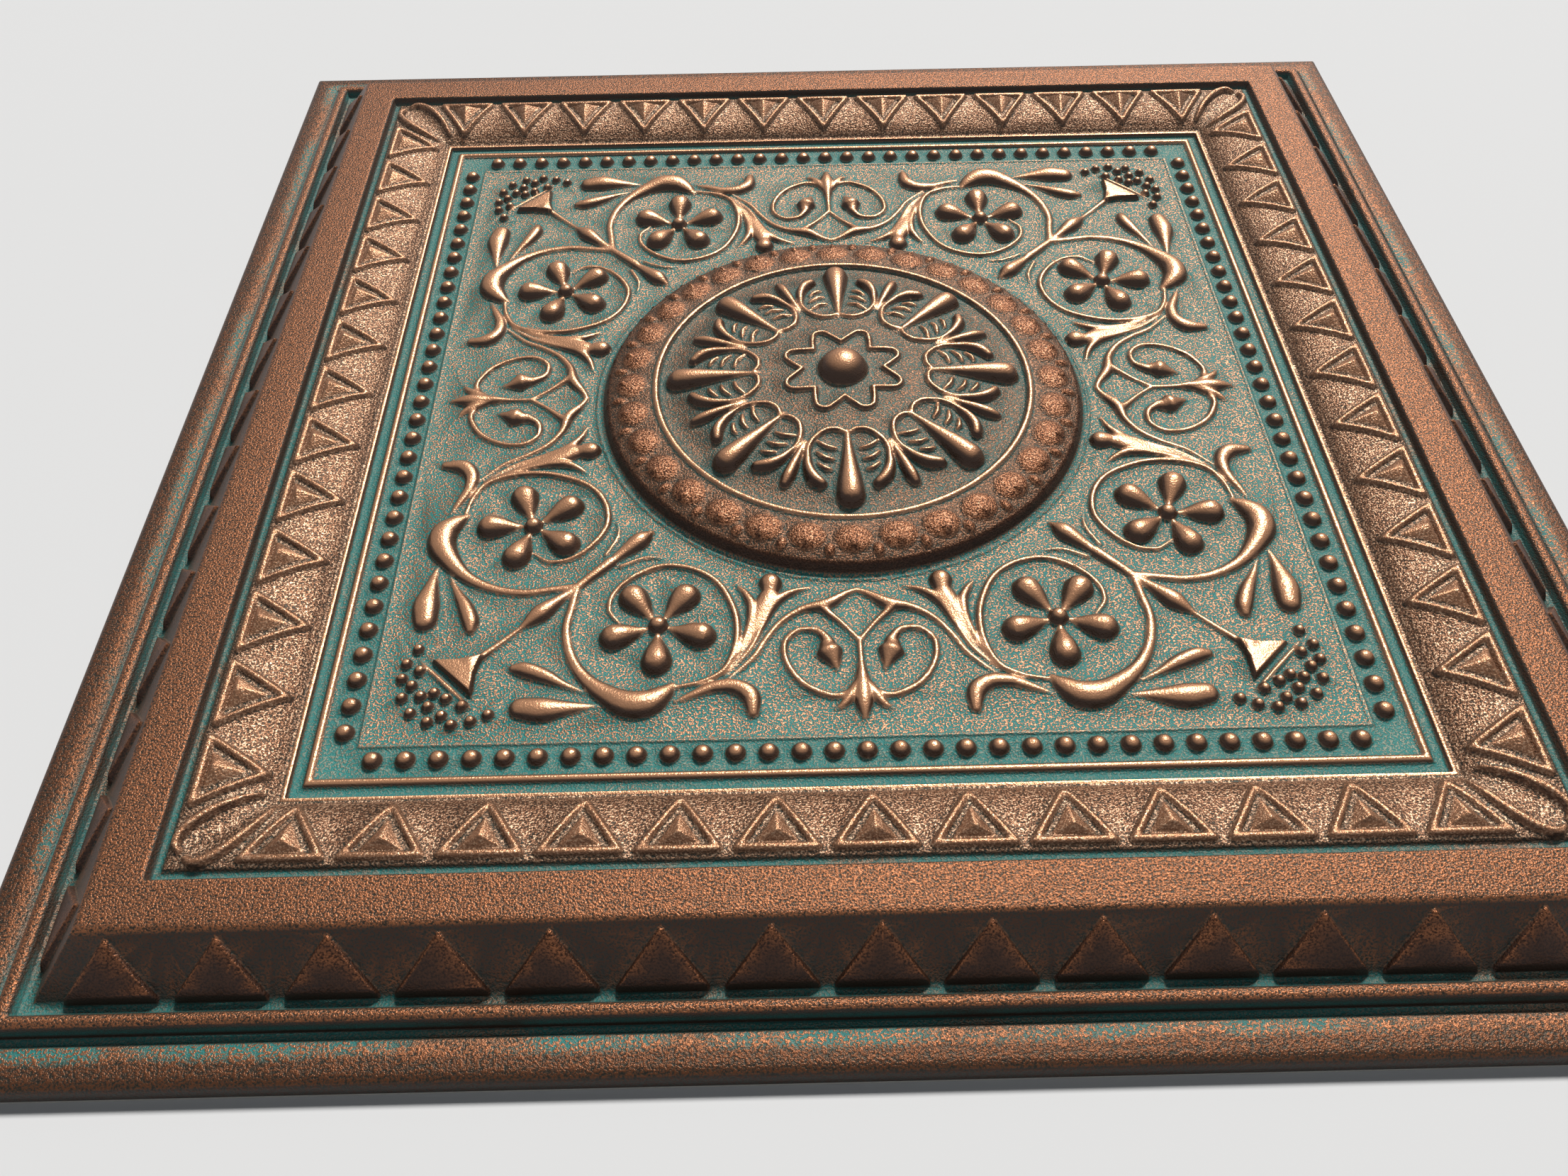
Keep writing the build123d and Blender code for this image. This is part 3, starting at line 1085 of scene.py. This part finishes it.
@dataclass
class Back:
    """The underside, one sheet's thickness under the face: a band for the glue round a hollow."""

    section: Section
    dome: Dome
    sheet: float = 5.0
    band_d: float = 226.0
    rim_d: float = 211.0
    cove_d: float = 174.5
    hollow_r: float = 86.0
    wall_r: float = 81.0
    sides: int = 96
    rings: int = 6

    def outline(self) -> list[Point]:
        """The hollow's section from the edge of the tile to its field.

        Returns:
            Its points, each a distance and a height.
        """
        s = self.section
        middle, field_z = s.cove_out_d, s.floor_z - self.sheet
        reach, drop = middle - self.cove_d, s.cove_z - s.floor_z
        turns = [radians(t) for t in range(0, 91, 15)]
        cove = [(middle - reach * sin(t), field_z + drop * cos(t)) for t in turns]
        rim_z = s.rim_z - self.sheet
        return [(s.half, 0.0), (self.band_d, 0.0), (self.rim_d, rim_z), (s.rim_in_d, rim_z), *cove]

    def build(self) -> bpy.types.Object:
        """Builds the underside, open at its outer edge.

        Returns:
            The underside, in the second material slot.
        """
        bed = Bed(self.section, self.dome)
        bpy.ops.mesh.primitive_plane_add(size=2 * self.section.half * MM, location=(0, 0, 0))
        square = bed.terrace(settle(bpy.context.object), self.outline(), "back_square")
        field_z = self.section.floor_z - self.sheet
        rings = [self.dome.dome_r * (1 - i / self.rings) for i in range(self.rings)]
        dome = [(r, self.dome.height(r) - self.sheet) for r in rings]
        line = [(self.hollow_r, field_z), (self.wall_r, self.dome.seat_z - self.sheet), *dome]
        place = (0, 0, field_z * MM)
        bpy.ops.mesh.primitive_circle_add(
            vertices=self.sides, radius=line[0][0] * MM, fill_type="NGON", location=place
        )
        well = bed.terrace(settle(bpy.context.object), line, "back_well")
        back = join([square, well], "back")
        mesh = bmesh.new()
        mesh.from_mesh(back.data)
        least = (self.cove_d * MM) ** 2
        field = next(f for f in mesh.faces if len(f.verts) == 4 and f.calc_area() > least)
        hole = [e for e in mesh.edges if e.is_boundary and e.verts[0].co.z > MM]
        edges = [*field.edges, *hole]
        bmesh.ops.delete(mesh, geom=[field], context="FACES_ONLY")
        bmesh.ops.triangle_fill(mesh, use_beauty=True, edges=edges)
        for face in mesh.faces:
            face.material_index = 1
        mesh.to_mesh(back.data)
        mesh.free()
        return back


@dataclass
class Sheet:
    """The moulded sheet: a fine grid pressed over the die, thinned, mirrored and closed behind.

    Attributes:
        section: the frame's section, for the sheet's outer edge.
        dome: the medallion's dome, for the edge of the flat field.
        cell: the grid's step.
        budget: how many triangles a quarter of the face keeps.
        start_z: the height that the grid drops from.
        blur: how many times the sheet's creases are softened.
        weld: how close the quarters' edges have to be to merge.
        low_z: the height that parts the back's edge from the face's.
        crease: the angle in degrees from which an edge stays sharp.
    """

    section: Section
    dome: Dome
    cell: float = 0.4
    budget: int = 46000
    start_z: float = 60.0
    blur: int = 1
    weld: float = 0.02
    low_z: float = 0.1
    crease: float = 50.0

    def press(self, grid: bpy.types.Object, die: bpy.types.Object) -> np.ndarray:
        """Drops a copy of the grid onto a die.

        Args:
            grid: the flat grid.
            die: what it is dropped onto.

        Returns:
            The grid's vertices after the drop.
        """
        fresh = copies(grid, [Matrix.Identity(4)])[0]
        apply(
            fresh,
            "SHRINKWRAP",
            target=die,
            wrap_method="PROJECT",
            use_project_z=True,
            use_negative_direction=True,
            use_positive_direction=False,
        )
        pressed = vertices(fresh)
        bpy.data.objects.remove(fresh)
        return pressed

    def soften(self, heights: np.ndarray) -> np.ndarray:
        """Rounds the sheet's creases as the thick sheet does.

        Args:
            heights: the heights of the grid's points, by row and column.

        Returns:
            The softened heights.
        """
        for _ in range(self.blur):
            padded = np.pad(heights, 1, mode="reflect")
            rows = (padded[:-2] + 2 * padded[1:-1] + padded[2:]) / 4
            heights = (rows[:, :-2] + 2 * rows[:, 1:-1] + rows[:, 2:]) / 4
        return heights

    def on_field(self, co: np.ndarray) -> np.ndarray:
        """Which places lie on the flat field, between the cove and the medallion."""
        square = np.abs(co[:, :2]).max(axis=1) < self.section.cove_in_d * MM
        return square & (np.hypot(co[:, 0], co[:, 1]) > self.dome.foot_r * MM)

    def quarter(self, bed: bpy.types.Object, die: bpy.types.Object) -> bpy.types.Object:
        """Presses one quarter of the face and thins it.

        Args:
            bed: the plain bed.
            die: the bed with its ornaments.

        Returns:
            The quarter, with how far each point stands off the bed.
        """
        half = self.section.half
        count = round(half / self.cell)
        bpy.ops.mesh.primitive_grid_add(
            x_subdivisions=count,
            y_subdivisions=count,
            size=half * MM,
            location=(-half / 2 * MM, -half / 2 * MM, self.start_z * MM),
        )
        grid = settle(bpy.context.object)
        grid.name = grid.data.name = "pressed_quarter"
        plain = self.press(grid, bed)
        pressed = self.press(grid, die)
        rows = (count + 1, count + 1)
        soft = self.soften(pressed[:, 2].reshape(rows)).ravel()
        edge = np.abs(pressed[:, :2]).max(axis=1) > (half - self.cell / 2) * MM
        pressed[:, 2] = np.where(edge, plain[:, 2], soft)
        set_vertices(grid, pressed)
        ground = np.where(self.on_field(pressed), self.section.floor_z * MM, plain[:, 2])
        relief = grid.data.attributes.new("relief", "FLOAT", "POINT")
        above = np.clip((pressed[:, 2] - ground) / MM, 0, None)
        relief.data.foreach_set("value", above.astype(np.float32))
        apply(grid, "DECIMATE", decimate_type="COLLAPSE", ratio=self.budget / (2 * count * count))
        snapped = vertices(grid)
        near = np.abs(snapped[:, :2]) < self.cell / 4 * MM
        snapped[:, :2][near] = 0
        set_vertices(grid, snapped)
        return grid

    def close(self, sheet: bpy.types.Object) -> None:
        """Closes the gap between the face's edge and the back's with four flat sides.

        Args:
            sheet: the open face joined with the open back.
        """
        mesh = bmesh.new()
        mesh.from_mesh(sheet.data)
        half = self.section.half * MM
        open_edge = [v for v in mesh.verts if v.is_boundary]
        for axis in (0, 1):
            for sign in (-1, 1):
                row = [v for v in open_edge if v.co[axis] * sign > half - self.cell / 4 * MM]
                for v in row:
                    v.co[axis] = sign * half
                row.sort(key=lambda v: v.co[1 - axis])
                top = [v for v in row if v.co.z > self.low_z * MM]
                low = [v for v in row if v.co.z <= self.low_z * MM][::-1]
                mesh.faces.new([*top, *low]).material_index = 0
        bmesh.ops.recalc_face_normals(mesh, faces=mesh.faces)
        mesh.to_mesh(sheet.data)
        mesh.free()

    def build(
        self,
        bed: bpy.types.Object,
        die: bpy.types.Object,
        back: bpy.types.Object,
        finishes: Sequence[bpy.types.Material],
    ) -> bpy.types.Object:
        """Builds the whole sheet.

        Args:
            bed: the plain bed.
            die: the bed with its ornaments.
            back: the sheet's underside.
            finishes: the materials of the face and of the back.

        Returns:
            The finished sheet.
        """
        face = self.quarter(bed, die)
        LOG.info("quarter: %d faces", len(face.data.polygons))
        both = {"use_axis": (True, True, False), "use_mirror_merge": True}
        apply(face, "MIRROR", merge_threshold=self.weld * MM, **both)
        for piece in (face, back):
            for finish in finishes:
                piece.data.materials.append(finish)
        sheet = join([face, back], "pressed_sheet")
        self.close(sheet)
        activate(sheet)
        bpy.ops.object.shade_smooth_by_angle(angle=radians(self.crease))
        return sheet


class Graph:
    """A thin helper over a node tree: it adds nodes and links their sockets."""

    def __init__(self, tree: bpy.types.NodeTree) -> None:
        """Starts on a tree.

        Args:
            tree: the node tree to fill.
        """
        self.tree = tree

    def add(self, kind: str, inputs: dict | None = None, **settings: object) -> bpy.types.Node:
        """Adds a node.

        Args:
            kind: the node's type.
            inputs: values or sockets for its inputs, by name or index.
            settings: its properties.

        Returns:
            The node.
        """
        node = self.tree.nodes.new(kind)
        for key, value in settings.items():
            setattr(node, key, value)
        for key, value in (inputs or {}).items():
            if isinstance(value, bpy.types.NodeSocket):
                self.tree.links.new(value, node.inputs[key])
            else:
                node.inputs[key].default_value = value
        return node

    def math(self, operation: str, *values: object, clamp: bool = False) -> bpy.types.NodeSocket:
        """Adds a Math node and returns its result."""
        inputs = dict(enumerate(values))
        return self.add("ShaderNodeMath", inputs, operation=operation, use_clamp=clamp).outputs[0]

    def plus(self, a: object, b: object) -> bpy.types.NodeSocket:
        """Adds two values."""
        return self.math("ADD", a, b)

    def minus(self, a: object, b: object, clamp: bool = False) -> bpy.types.NodeSocket:
        """Takes b from a."""
        return self.math("SUBTRACT", a, b, clamp=clamp)

    def times(self, a: object, b: object, clamp: bool = False) -> bpy.types.NodeSocket:
        """Multiplies two values."""
        return self.math("MULTIPLY", a, b, clamp=clamp)

    def most(self, *values: object) -> bpy.types.NodeSocket:
        """Takes the greatest of the values."""
        return reduce(lambda a, b: self.math("MAXIMUM", a, b), values)

    def step(self, value: object, low: object, high: object) -> bpy.types.NodeSocket:
        """Adds a smooth step from 0 at low to 1 at high."""
        inputs = {"Value": value, "From Min": low, "From Max": high}
        return self.add("ShaderNodeMapRange", inputs, interpolation_type="SMOOTHSTEP").outputs[0]

    def mix(self, share: object, a: object, b: object) -> bpy.types.NodeSocket:
        """Mixes two colours, a at 0 and b at 1."""
        return self.add("ShaderNodeMix", {0: share, 6: a, 7: b}, data_type="RGBA").outputs[2]


def group(
    name: str, inputs: dict[str, str], outputs: dict[str, str]
) -> tuple[bpy.types.NodeTree, Graph]:
    """Starts a shader node group.

    Args:
        name: the group's name.
        inputs: its inputs' socket kinds by name.
        outputs: its outputs' socket kinds by name.

    Returns:
        The group and its graph.
    """
    tree = bpy.data.node_groups.new(name, "ShaderNodeTree")
    for label, kind in inputs.items():
        tree.interface.new_socket(label, in_out="INPUT", socket_type=kind)
    for label, kind in outputs.items():
        tree.interface.new_socket(label, in_out="OUTPUT", socket_type=kind)
    return tree, Graph(tree)


VALUE = "NodeSocketFloat"
VECTOR = "NodeSocketVector"
Sockets = dict[str, bpy.types.NodeSocket]


@dataclass(frozen=True)
class PebbleGrain:
    """The fine pebble grain of sprayed foam, as a height from 0 to 1."""

    name: str = "pebble_grain"

    def build(self) -> bpy.types.NodeTree:
        """Builds the group.

        Returns:
            The group, with a Vector and a Size in and a Height out.
        """
        tree, g = group(self.name, {"Vector": VECTOR, "Size": VALUE}, {"Height": VALUE})
        put = g.add("NodeGroupInput").outputs
        scale = g.math("DIVIDE", 1.0, put["Size"])
        pebbles = {"Vector": put["Vector"], "Scale": scale, "Detail": 1.5, "Roughness": 0.6}
        noise = g.add("ShaderNodeTexNoise", pebbles).outputs[0]
        g.add("NodeGroupOutput", {"Height": g.step(noise, 0.22, 0.78)})
        return tree


@dataclass(frozen=True)
class Zones:
    """Masks of the tile's parts, by the distance to its middle along the square and the circle.

    Each pair holds the distance where a mask is 0 and the one where it is 1, in millimetres.
    """

    name: str = "tile_zones"
    field: Point = (171.5, 170.0)
    channel_in: Point = (151.0, 153.0)
    channel_out: Point = (163.0, 162.0)
    medallion: Point = (89.5, 87.0)
    haze_d: float = 239.0
    haze: Point = (5.5, 0.0)
    ring_r: float = 69.0
    ring: Point = (1.5, 0.8)
    border_in: Point = (70.6, 71.4)
    wall_in: Point = (85.2, 87.2)
    wall_out: Point = (89.4, 88.4)
    flange: Point = (240.0, 244.0)
    inner: Point = (196.5, 194.5)
    grooves: tuple[Point, ...] = ((196.9, 1.1), (167.6, 1.6), (228.2, 2.0), (236.3, 1.5))
    groove_soft: Point = (0.5, -0.4)

    def build(self) -> bpy.types.NodeTree:
        """Builds the group.

        Returns:
            The group, with a mask out for each part of the tile and the height above the back.
        """
        names = ("Field", "Channel", "Medallion", "Haze", "Grooves", "Border", "Wall")
        outputs = dict.fromkeys((*names, "Flange", "Inner", "Ring", "Height"), VALUE)
        tree, g = group(self.name, {"Vector": VECTOR}, outputs)
        put = g.add("NodeGroupInput").outputs
        xyz = g.add("ShaderNodeSeparateXYZ", {0: put["Vector"]}).outputs
        square = g.most(g.math("ABSOLUTE", xyz[0]), g.math("ABSOLUTE", xyz[1]))
        round_r = g.math("SQRT", g.plus(g.times(xyz[0], xyz[0]), g.times(xyz[1], xyz[1])))

        def fade(value: bpy.types.NodeSocket, span: Point) -> bpy.types.NodeSocket:
            """A mask over a distance."""
            return g.step(value, span[0] * MM, span[1] * MM)

        def beside(value: bpy.types.NodeSocket, middle: float) -> bpy.types.NodeSocket:
            """The distance to a line."""
            return g.math("ABSOLUTE", g.minus(value, middle * MM))

        out, into = self.groove_soft
        bands = []
        for line, half in self.grooves:
            bands.append(fade(beside(square, line), (half + out, half + into)))
        medallion = fade(round_r, self.medallion)
        masks = {
            "Field": fade(square, self.field),
            "Channel": g.times(fade(square, self.channel_in), fade(square, self.channel_out)),
            "Medallion": medallion,
            "Haze": fade(beside(square, self.haze_d), self.haze),
            "Grooves": g.most(*bands),
            "Border": g.times(medallion, fade(round_r, self.border_in)),
            "Wall": g.times(fade(round_r, self.wall_in), fade(round_r, self.wall_out)),
            "Flange": fade(square, self.flange),
            "Inner": fade(square, self.inner),
            "Ring": fade(beside(round_r, self.ring_r), self.ring),
            "Height": xyz[2],
        }
        g.add("NodeGroupOutput", masks)
        return tree


@dataclass(frozen=True)
class CopperPaint:
    """The face's finish: copper paint brushed over dark brown, with verdigris in the hollows.

    Attributes:
        pale: the pebbles' tops inside the rim, paler partly as a painted sheen.
        bright: the pebbles' tops on the rim and outside it.
        burnish_and_highlight: the rubbed crests of the ornaments, lighter partly as a painted
            highlight.
        copper: the paint's own colour.
        dark: the brown between the pebbles, and the painted shade on steep and sheltered faces.
        teal: the verdigris in the open.
        teal_in_painted_shade: the verdigris darkened in deep shelter, as painted shade.
        foam: the bare foam at the cut edge.
        grain_mm: the size of a pebble.
        hollow_mm: how far off a neighbour gives shelter.
        patch_scale: how fine the verdigris is broken into patches.
        lip_z: the height up to which the cut edge is bare.
        bump: how strong the pebbles stand out.
        bump_mm: how high they are.
        metal: the share of metal in the paint.
        gloss: the roughness of clean paint.
    """

    pale: Colour = (0.72, 0.54, 0.37)
    bright: Colour = (0.36, 0.142, 0.063)
    burnish_and_highlight: Colour = (0.55, 0.285, 0.155)
    copper: Colour = (0.24, 0.092, 0.040)
    dark: Colour = (0.022, 0.0088, 0.0046)
    teal: Colour = (0.006, 0.195, 0.18)
    teal_in_painted_shade: Colour = (0.003, 0.045, 0.043)
    foam: Colour = (0.62, 0.60, 0.56)
    grain_mm: float = 0.65
    hollow_mm: float = 6.0
    patch_scale: float = 28.0
    lip_z: float = 1.0
    bump: float = 0.62
    bump_mm: float = 0.3
    metal: float = 0.82
    gloss: float = 0.43

    def reads(self, g: Graph, grain: bpy.types.NodeTree, zones: bpy.types.NodeTree) -> Sockets:
        """Reads what the finish depends on.

        Args:
            g: the material's graph.
            grain: the pebble grain group.
            zones: the zone mask group.

        Returns:
            The grain, the zones' masks and the surface's lie, by name.
        """
        place = g.add("ShaderNodeTexCoord").outputs["Object"]
        sized = {"Vector": place, "Size": self.grain_mm * MM}
        fine = g.add("ShaderNodeGroup", sized, node_tree=grain)
        zone = g.add("ShaderNodeGroup", {"Vector": place}, node_tree=zones)
        near = {"Distance": self.hollow_mm * MM}
        shelter = g.add("ShaderNodeAmbientOcclusion", near, only_local=True, samples=3)
        normal = g.add("ShaderNodeNewGeometry").outputs["Normal"]
        raised = g.add("ShaderNodeAttribute", attribute_name="relief").outputs["Fac"]
        read = {output.name: output for output in zone.outputs}
        read["pebble"] = fine.outputs["Height"]
        patchy = {"Vector": place, "Scale": self.patch_scale, "Detail": 3.0}
        read["patches"] = g.add("ShaderNodeTexNoise", patchy).outputs[0]
        read["shelter"] = shelter.outputs["AO"]
        read["upward"] = g.add("ShaderNodeSeparateXYZ", {0: normal}).outputs[2]
        read["ridge"] = g.most(g.step(raised, 0.2, 0.9), read["Ring"])
        # Steep faces, and more so the tile's outer walls: paint() darkens them as painted shade.
        outside = g.minus(0.85, g.times(read["Inner"], 0.85))
        wall = g.times(outside, g.step(read["upward"], 0.85, 0.66))
        read["steep"] = g.most(g.step(read["upward"], 0.84, 0.4), wall)
        bare = g.minus(1.0, g.most(read["Border"], read["Wall"]))
        brushed = g.most(read["Field"], g.times(read["Inner"], 0.45))
        # The raised ornaments' crests: smoother, and given a lighter colour, partly rubbed paint
        # and partly a painted highlight.
        read["polished"] = g.times(g.times(read["ridge"], brushed), bare)
        # The raised ornaments' sides, leaning away from the top: paint() darkens them as painted
        # shade.
        read["leaning"] = g.times(g.step(read["upward"], 0.98, 0.68), read["polished"])
        return read

    def wash(self, g: Graph, read: Sockets) -> bpy.types.NodeSocket:
        """The share of verdigris: between pebbles, in the channel and grooves, and in shelter.

        Args:
            g: the material's graph.
            read: what the finish depends on.

        Returns:
            The share, from 0 to 1.
        """
        valley = g.step(read["pebble"], 0.68, 0.38)
        strewn = g.minus(g.times(read["Field"], 0.93), g.times(read["Medallion"], 0.75))
        strewn = g.minus(strewn, g.times(read["Border"], 0.15))
        speckle = g.times(valley, g.plus(strewn, 0.07), clamp=True)
        patches = g.times(valley, g.step(read["patches"], 0.38, 0.65))
        haze = g.times(read["Haze"], patches)
        channel = g.times(read["Channel"], g.plus(g.times(valley, 0.45), 0.5))
        groove = g.times(read["Grooves"], g.plus(g.times(valley, 0.3), 0.65))
        groove = g.times(groove, g.step(read["patches"], 0.2, 0.55))
        reach = g.plus(g.times(read["Field"], 0.7), 0.3)
        reach = g.minus(reach, g.times(read["Border"], 0.8), clamp=True)
        level = g.times(reach, g.step(read["upward"], 0.4, 0.8))
        hollow = g.times(g.step(read["shelter"], 0.97, 0.7), level)
        share = g.most(speckle, channel, haze, hollow, groove)
        bare = g.minus(1.0, g.most(read["ridge"], read["Wall"]))
        return g.times(share, bare, clamp=True)

    def paint(self, g: Graph, read: Sockets) -> bpy.types.NodeSocket:
        """The copper: dark between the pebbles, pale on their tops, darkened as painted shade where
        steep or sheltered.

        Args:
            g: the material's graph.
            read: what the finish depends on.

        Returns:
            Its colour.
        """
        tone = g.mix(g.step(read["pebble"], 0.0, 0.75), (*self.dark, 1), (*self.copper, 1))
        light = g.mix(read["Inner"], (*self.bright, 1), (*self.pale, 1))
        # More pale pebble tops on the cove, partly a painted sheen, and a few less on the field.
        rubbed_and_sheen = g.minus(g.times(read["Inner"], 0.4), g.times(read["Field"], 0.46))
        tops = g.times(g.step(read["pebble"], 0.5, 0.95), g.plus(rubbed_and_sheen, 0.25))
        tone = g.mix(tops, tone, light)
        # Painted highlight, partly rubbed paint: the raised ornaments take the lighter crest
        # colour.
        tone = g.mix(g.times(read["polished"], 0.85), tone, (*self.burnish_and_highlight, 1))
        # Painted shade on steep faces, on the raised ornaments' leaning sides, on the medallion's
        # wall and in sheltered places; the flange and the medallion's floor are darker.
        painted_shade_and_darkening = [g.times(read["steep"], 0.94), g.times(read["leaning"], 0.9)]
        painted_shade_and_darkening += [g.times(read["Flange"], 0.56), g.times(read["Wall"], 0.85)]
        painted_shade_and_darkening.append(g.times(g.minus(read["Medallion"], read["ridge"], clamp=True), 0.48))
        painted_shade_and_darkening.append(g.times(g.step(read["shelter"], 0.85, 0.4), 0.6))
        return g.mix(g.most(*painted_shade_and_darkening), tone, (*self.dark, 1))

    def build(self, grain: bpy.types.NodeTree, zones: bpy.types.NodeTree) -> bpy.types.Material:
        """Builds the material.

        Args:
            grain: the pebble grain group.
            zones: the zone mask group.

        Returns:
            The material.
        """
        material = bpy.data.materials.new("copper_patina")
        material.use_nodes = True
        material.node_tree.nodes.clear()
        g = Graph(material.node_tree)
        read = self.reads(g, grain, zones)
        wash, polished = self.wash(g, read), read["polished"]
        # Painted shade: the verdigris grows darker where sheltered.
        green = g.mix(g.step(read["shelter"], 0.4, 0.95), (*self.teal_in_painted_shade, 1), (*self.teal, 1))
        painted = g.mix(wash, self.paint(g, read), green)
        lip = g.step(read["Height"], (self.lip_z + 0.3) * MM, (self.lip_z - 0.3) * MM)
        colour = g.mix(lip, painted, (*self.foam, 1))
        worn = g.most(g.times(polished, 0.36), g.times(read["steep"], 0.3))
        grainy = {"Strength": g.minus(self.bump, worn), "Distance": self.bump_mm * MM}
        bump = g.add("ShaderNodeBump", {**grainy, "Height": read["pebble"]}).outputs[0]
        turned = g.times(g.most(read["steep"], read["leaning"]), 0.5)
        coat = g.minus(g.minus(self.metal, turned), g.times(wash, 0.75))
        coat = g.minus(coat, lip, clamp=True)
        rough = g.plus(g.times(wash, 0.2), g.minus(self.gloss, g.times(polished, 0.08)))
        surface = {"Base Color": colour, "Metallic": coat, "Roughness": rough, "Normal": bump}
        shader = g.add("ShaderNodeBsdfPrincipled", surface)
        g.add("ShaderNodeOutputMaterial", {"Surface": shader.outputs[0]})
        return material


@dataclass(frozen=True)
class BareFoam:
    """The back: pale foam with the skin's faint cells."""

    pale: Colour = (0.66, 0.64, 0.60)
    shade: Colour = (0.55, 0.53, 0.49)
    cell_mm: float = 3.0
    stain_scale: float = 14.0
    bump: float = 0.4
    bump_mm: float = 0.3
    rough: float = 0.8

    def build(self) -> bpy.types.Material:
        """Builds the material.

        Returns:
            The material.
        """
        material = bpy.data.materials.new("bare_foam")
        material.use_nodes = True
        material.node_tree.nodes.clear()
        g = Graph(material.node_tree)
        place = g.add("ShaderNodeTexCoord").outputs["Object"]
        cells = {"Vector": place, "Scale": 1 / (self.cell_mm * MM)}
        cell = g.add("ShaderNodeTexVoronoi", cells, feature="SMOOTH_F1").outputs["Distance"]
        stained = {"Vector": place, "Scale": self.stain_scale, "Detail": 4.0}
        stain = g.add("ShaderNodeTexNoise", stained).outputs[0]
        share = g.times(g.plus(g.step(cell, 0.2, 0.7), g.step(stain, 0.45, 0.7)), 0.5)
        colour = g.mix(share, (*self.pale, 1), (*self.shade, 1))
        relief = {"Strength": self.bump, "Distance": self.bump_mm * MM, "Height": cell}
        bump = g.add("ShaderNodeBump", relief).outputs[0]
        surface = {"Base Color": colour, "Roughness": self.rough, "Normal": bump}
        shader = g.add("ShaderNodeBsdfPrincipled", surface)
        g.add("ShaderNodeOutputMaterial", {"Surface": shader.outputs[0]})
        return material


@dataclass
class Studio:
    """The pale floor, the soft light and the camera. Its places are in metres."""

    floor_size: float = 12.0
    floor_colour: Colour = (0.76, 0.775, 0.795)
    backdrop: Colour = (0.55, 0.56, 0.58)
    fill: float = 0.11
    fill_colour: Colour = (0.93, 0.97, 1.0)
    key_colour: Colour = (1.0, 0.97, 0.93)
    key_from: tuple[float, float, float] = (0.93, 2.52, 2.93)
    key_strength: float = 3.8
    key_spread: float = 11.0
    camera_place: tuple[float, float, float] = (-0.0258, -0.3672, 0.3437)
    camera_ahead: tuple[float, float, float] = (0.0052, 0.6382, -0.7699)
    camera_roll: float = -0.9
    lens: float = 30.0

    def aim(self, ahead: Vector, roll: float = 0.0) -> Matrix:
        """The turn that looks along a direction.

        Args:
            ahead: the direction.
            roll: degrees by which the picture's right side is lifted.

        Returns:
            The turn.
        """
        turn = ahead.to_track_quat("-Z", "Y").to_matrix().to_4x4()
        return turn @ Matrix.Rotation(radians(roll), 4, "Z")

    def floor(self) -> None:
        """Lays the floor, which keeps the tile's shadow."""
        bpy.ops.mesh.primitive_plane_add(size=self.floor_size, location=(0, 0, 0))
        floor = bpy.context.object
        floor.name = "floor"
        material = bpy.data.materials.new("floor")
        material.use_nodes = True
        shader = material.node_tree.nodes["Principled BSDF"]
        shader.inputs["Base Color"].default_value = (*self.floor_colour, 1)
        shader.inputs["Roughness"].default_value = 0.9
        floor.data.materials.append(material)

    def world(self) -> None:
        """Sets the backdrop, as seen and mirrored, and the weaker light that it gives."""
        world = bpy.data.worlds.new("studio")
        world.use_nodes = True
        world.node_tree.nodes.clear()
        g = Graph(world.node_tree)
        path = g.add("ShaderNodeLightPath").outputs
        mirrored = g.most(path["Is Glossy Ray"], path["Is Transmission Ray"])
        seen = g.most(path["Is Camera Ray"], mirrored)
        shown = g.add("ShaderNodeBackground", {"Color": (*self.backdrop, 1), "Strength": 1.0})
        faint = {"Color": (*self.fill_colour, 1), "Strength": self.fill}
        light = g.add("ShaderNodeBackground", faint)
        mixed = g.add("ShaderNodeMixShader", {0: seen, 1: light.outputs[0], 2: shown.outputs[0]})
        g.add("ShaderNodeOutputWorld", {"Surface": mixed.outputs[0]})
        bpy.context.scene.world = world

    def key(self) -> None:
        """Shines the soft key light from behind the tile and a little to the right."""
        bpy.ops.object.light_add(type="SUN", location=self.key_from)
        lamp = bpy.context.object
        lamp.name = "key"
        lamp.data.angle = radians(self.key_spread)
        lamp.data.energy = self.key_strength
        lamp.data.color = self.key_colour
        lamp.matrix_world = Matrix.Translation(self.key_from) @ self.aim(-Vector(self.key_from))

    def camera(self) -> None:
        """Places the camera in front of the tile and above it."""
        bpy.ops.object.camera_add(location=self.camera_place)
        camera = bpy.context.object
        camera.name = "camera"
        camera.data.sensor_width = 36.0
        camera.data.lens = self.lens
        camera.data.clip_start = 0.01
        turn = self.aim(Vector(self.camera_ahead), self.camera_roll)
        camera.matrix_world = Matrix.Translation(self.camera_place) @ turn
        bpy.context.scene.camera = camera

    def build(self) -> None:
        """Sets the whole stage."""
        self.floor()
        self.world()
        self.key()
        self.camera()
        bpy.context.scene.view_settings.view_transform = "Standard"


def main() -> None:
    """Builds the tile, dresses it and sets the stage."""
    logging.basicConfig(level=logging.INFO, format="%(message)s")
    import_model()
    section, dome = Section(), Dome()
    bed, die = Die(section, dome).build()
    back = Back(section, dome).build()
    finishes = [CopperPaint().build(PebbleGrain().build(), Zones().build()), BareFoam().build()]
    sheet = Sheet(section, dome).build(bed, die, back, finishes)
    bpy.data.objects.remove(bed)
    bpy.data.objects.remove(die)
    LOG.info("sheet: %d triangles", sum(len(face.vertices) - 2 for face in sheet.data.polygons))
    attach(sheet, "root")
    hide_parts("ceiling_tile")
    Studio().build()
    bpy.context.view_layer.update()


if __name__ == "__main__":
    main()
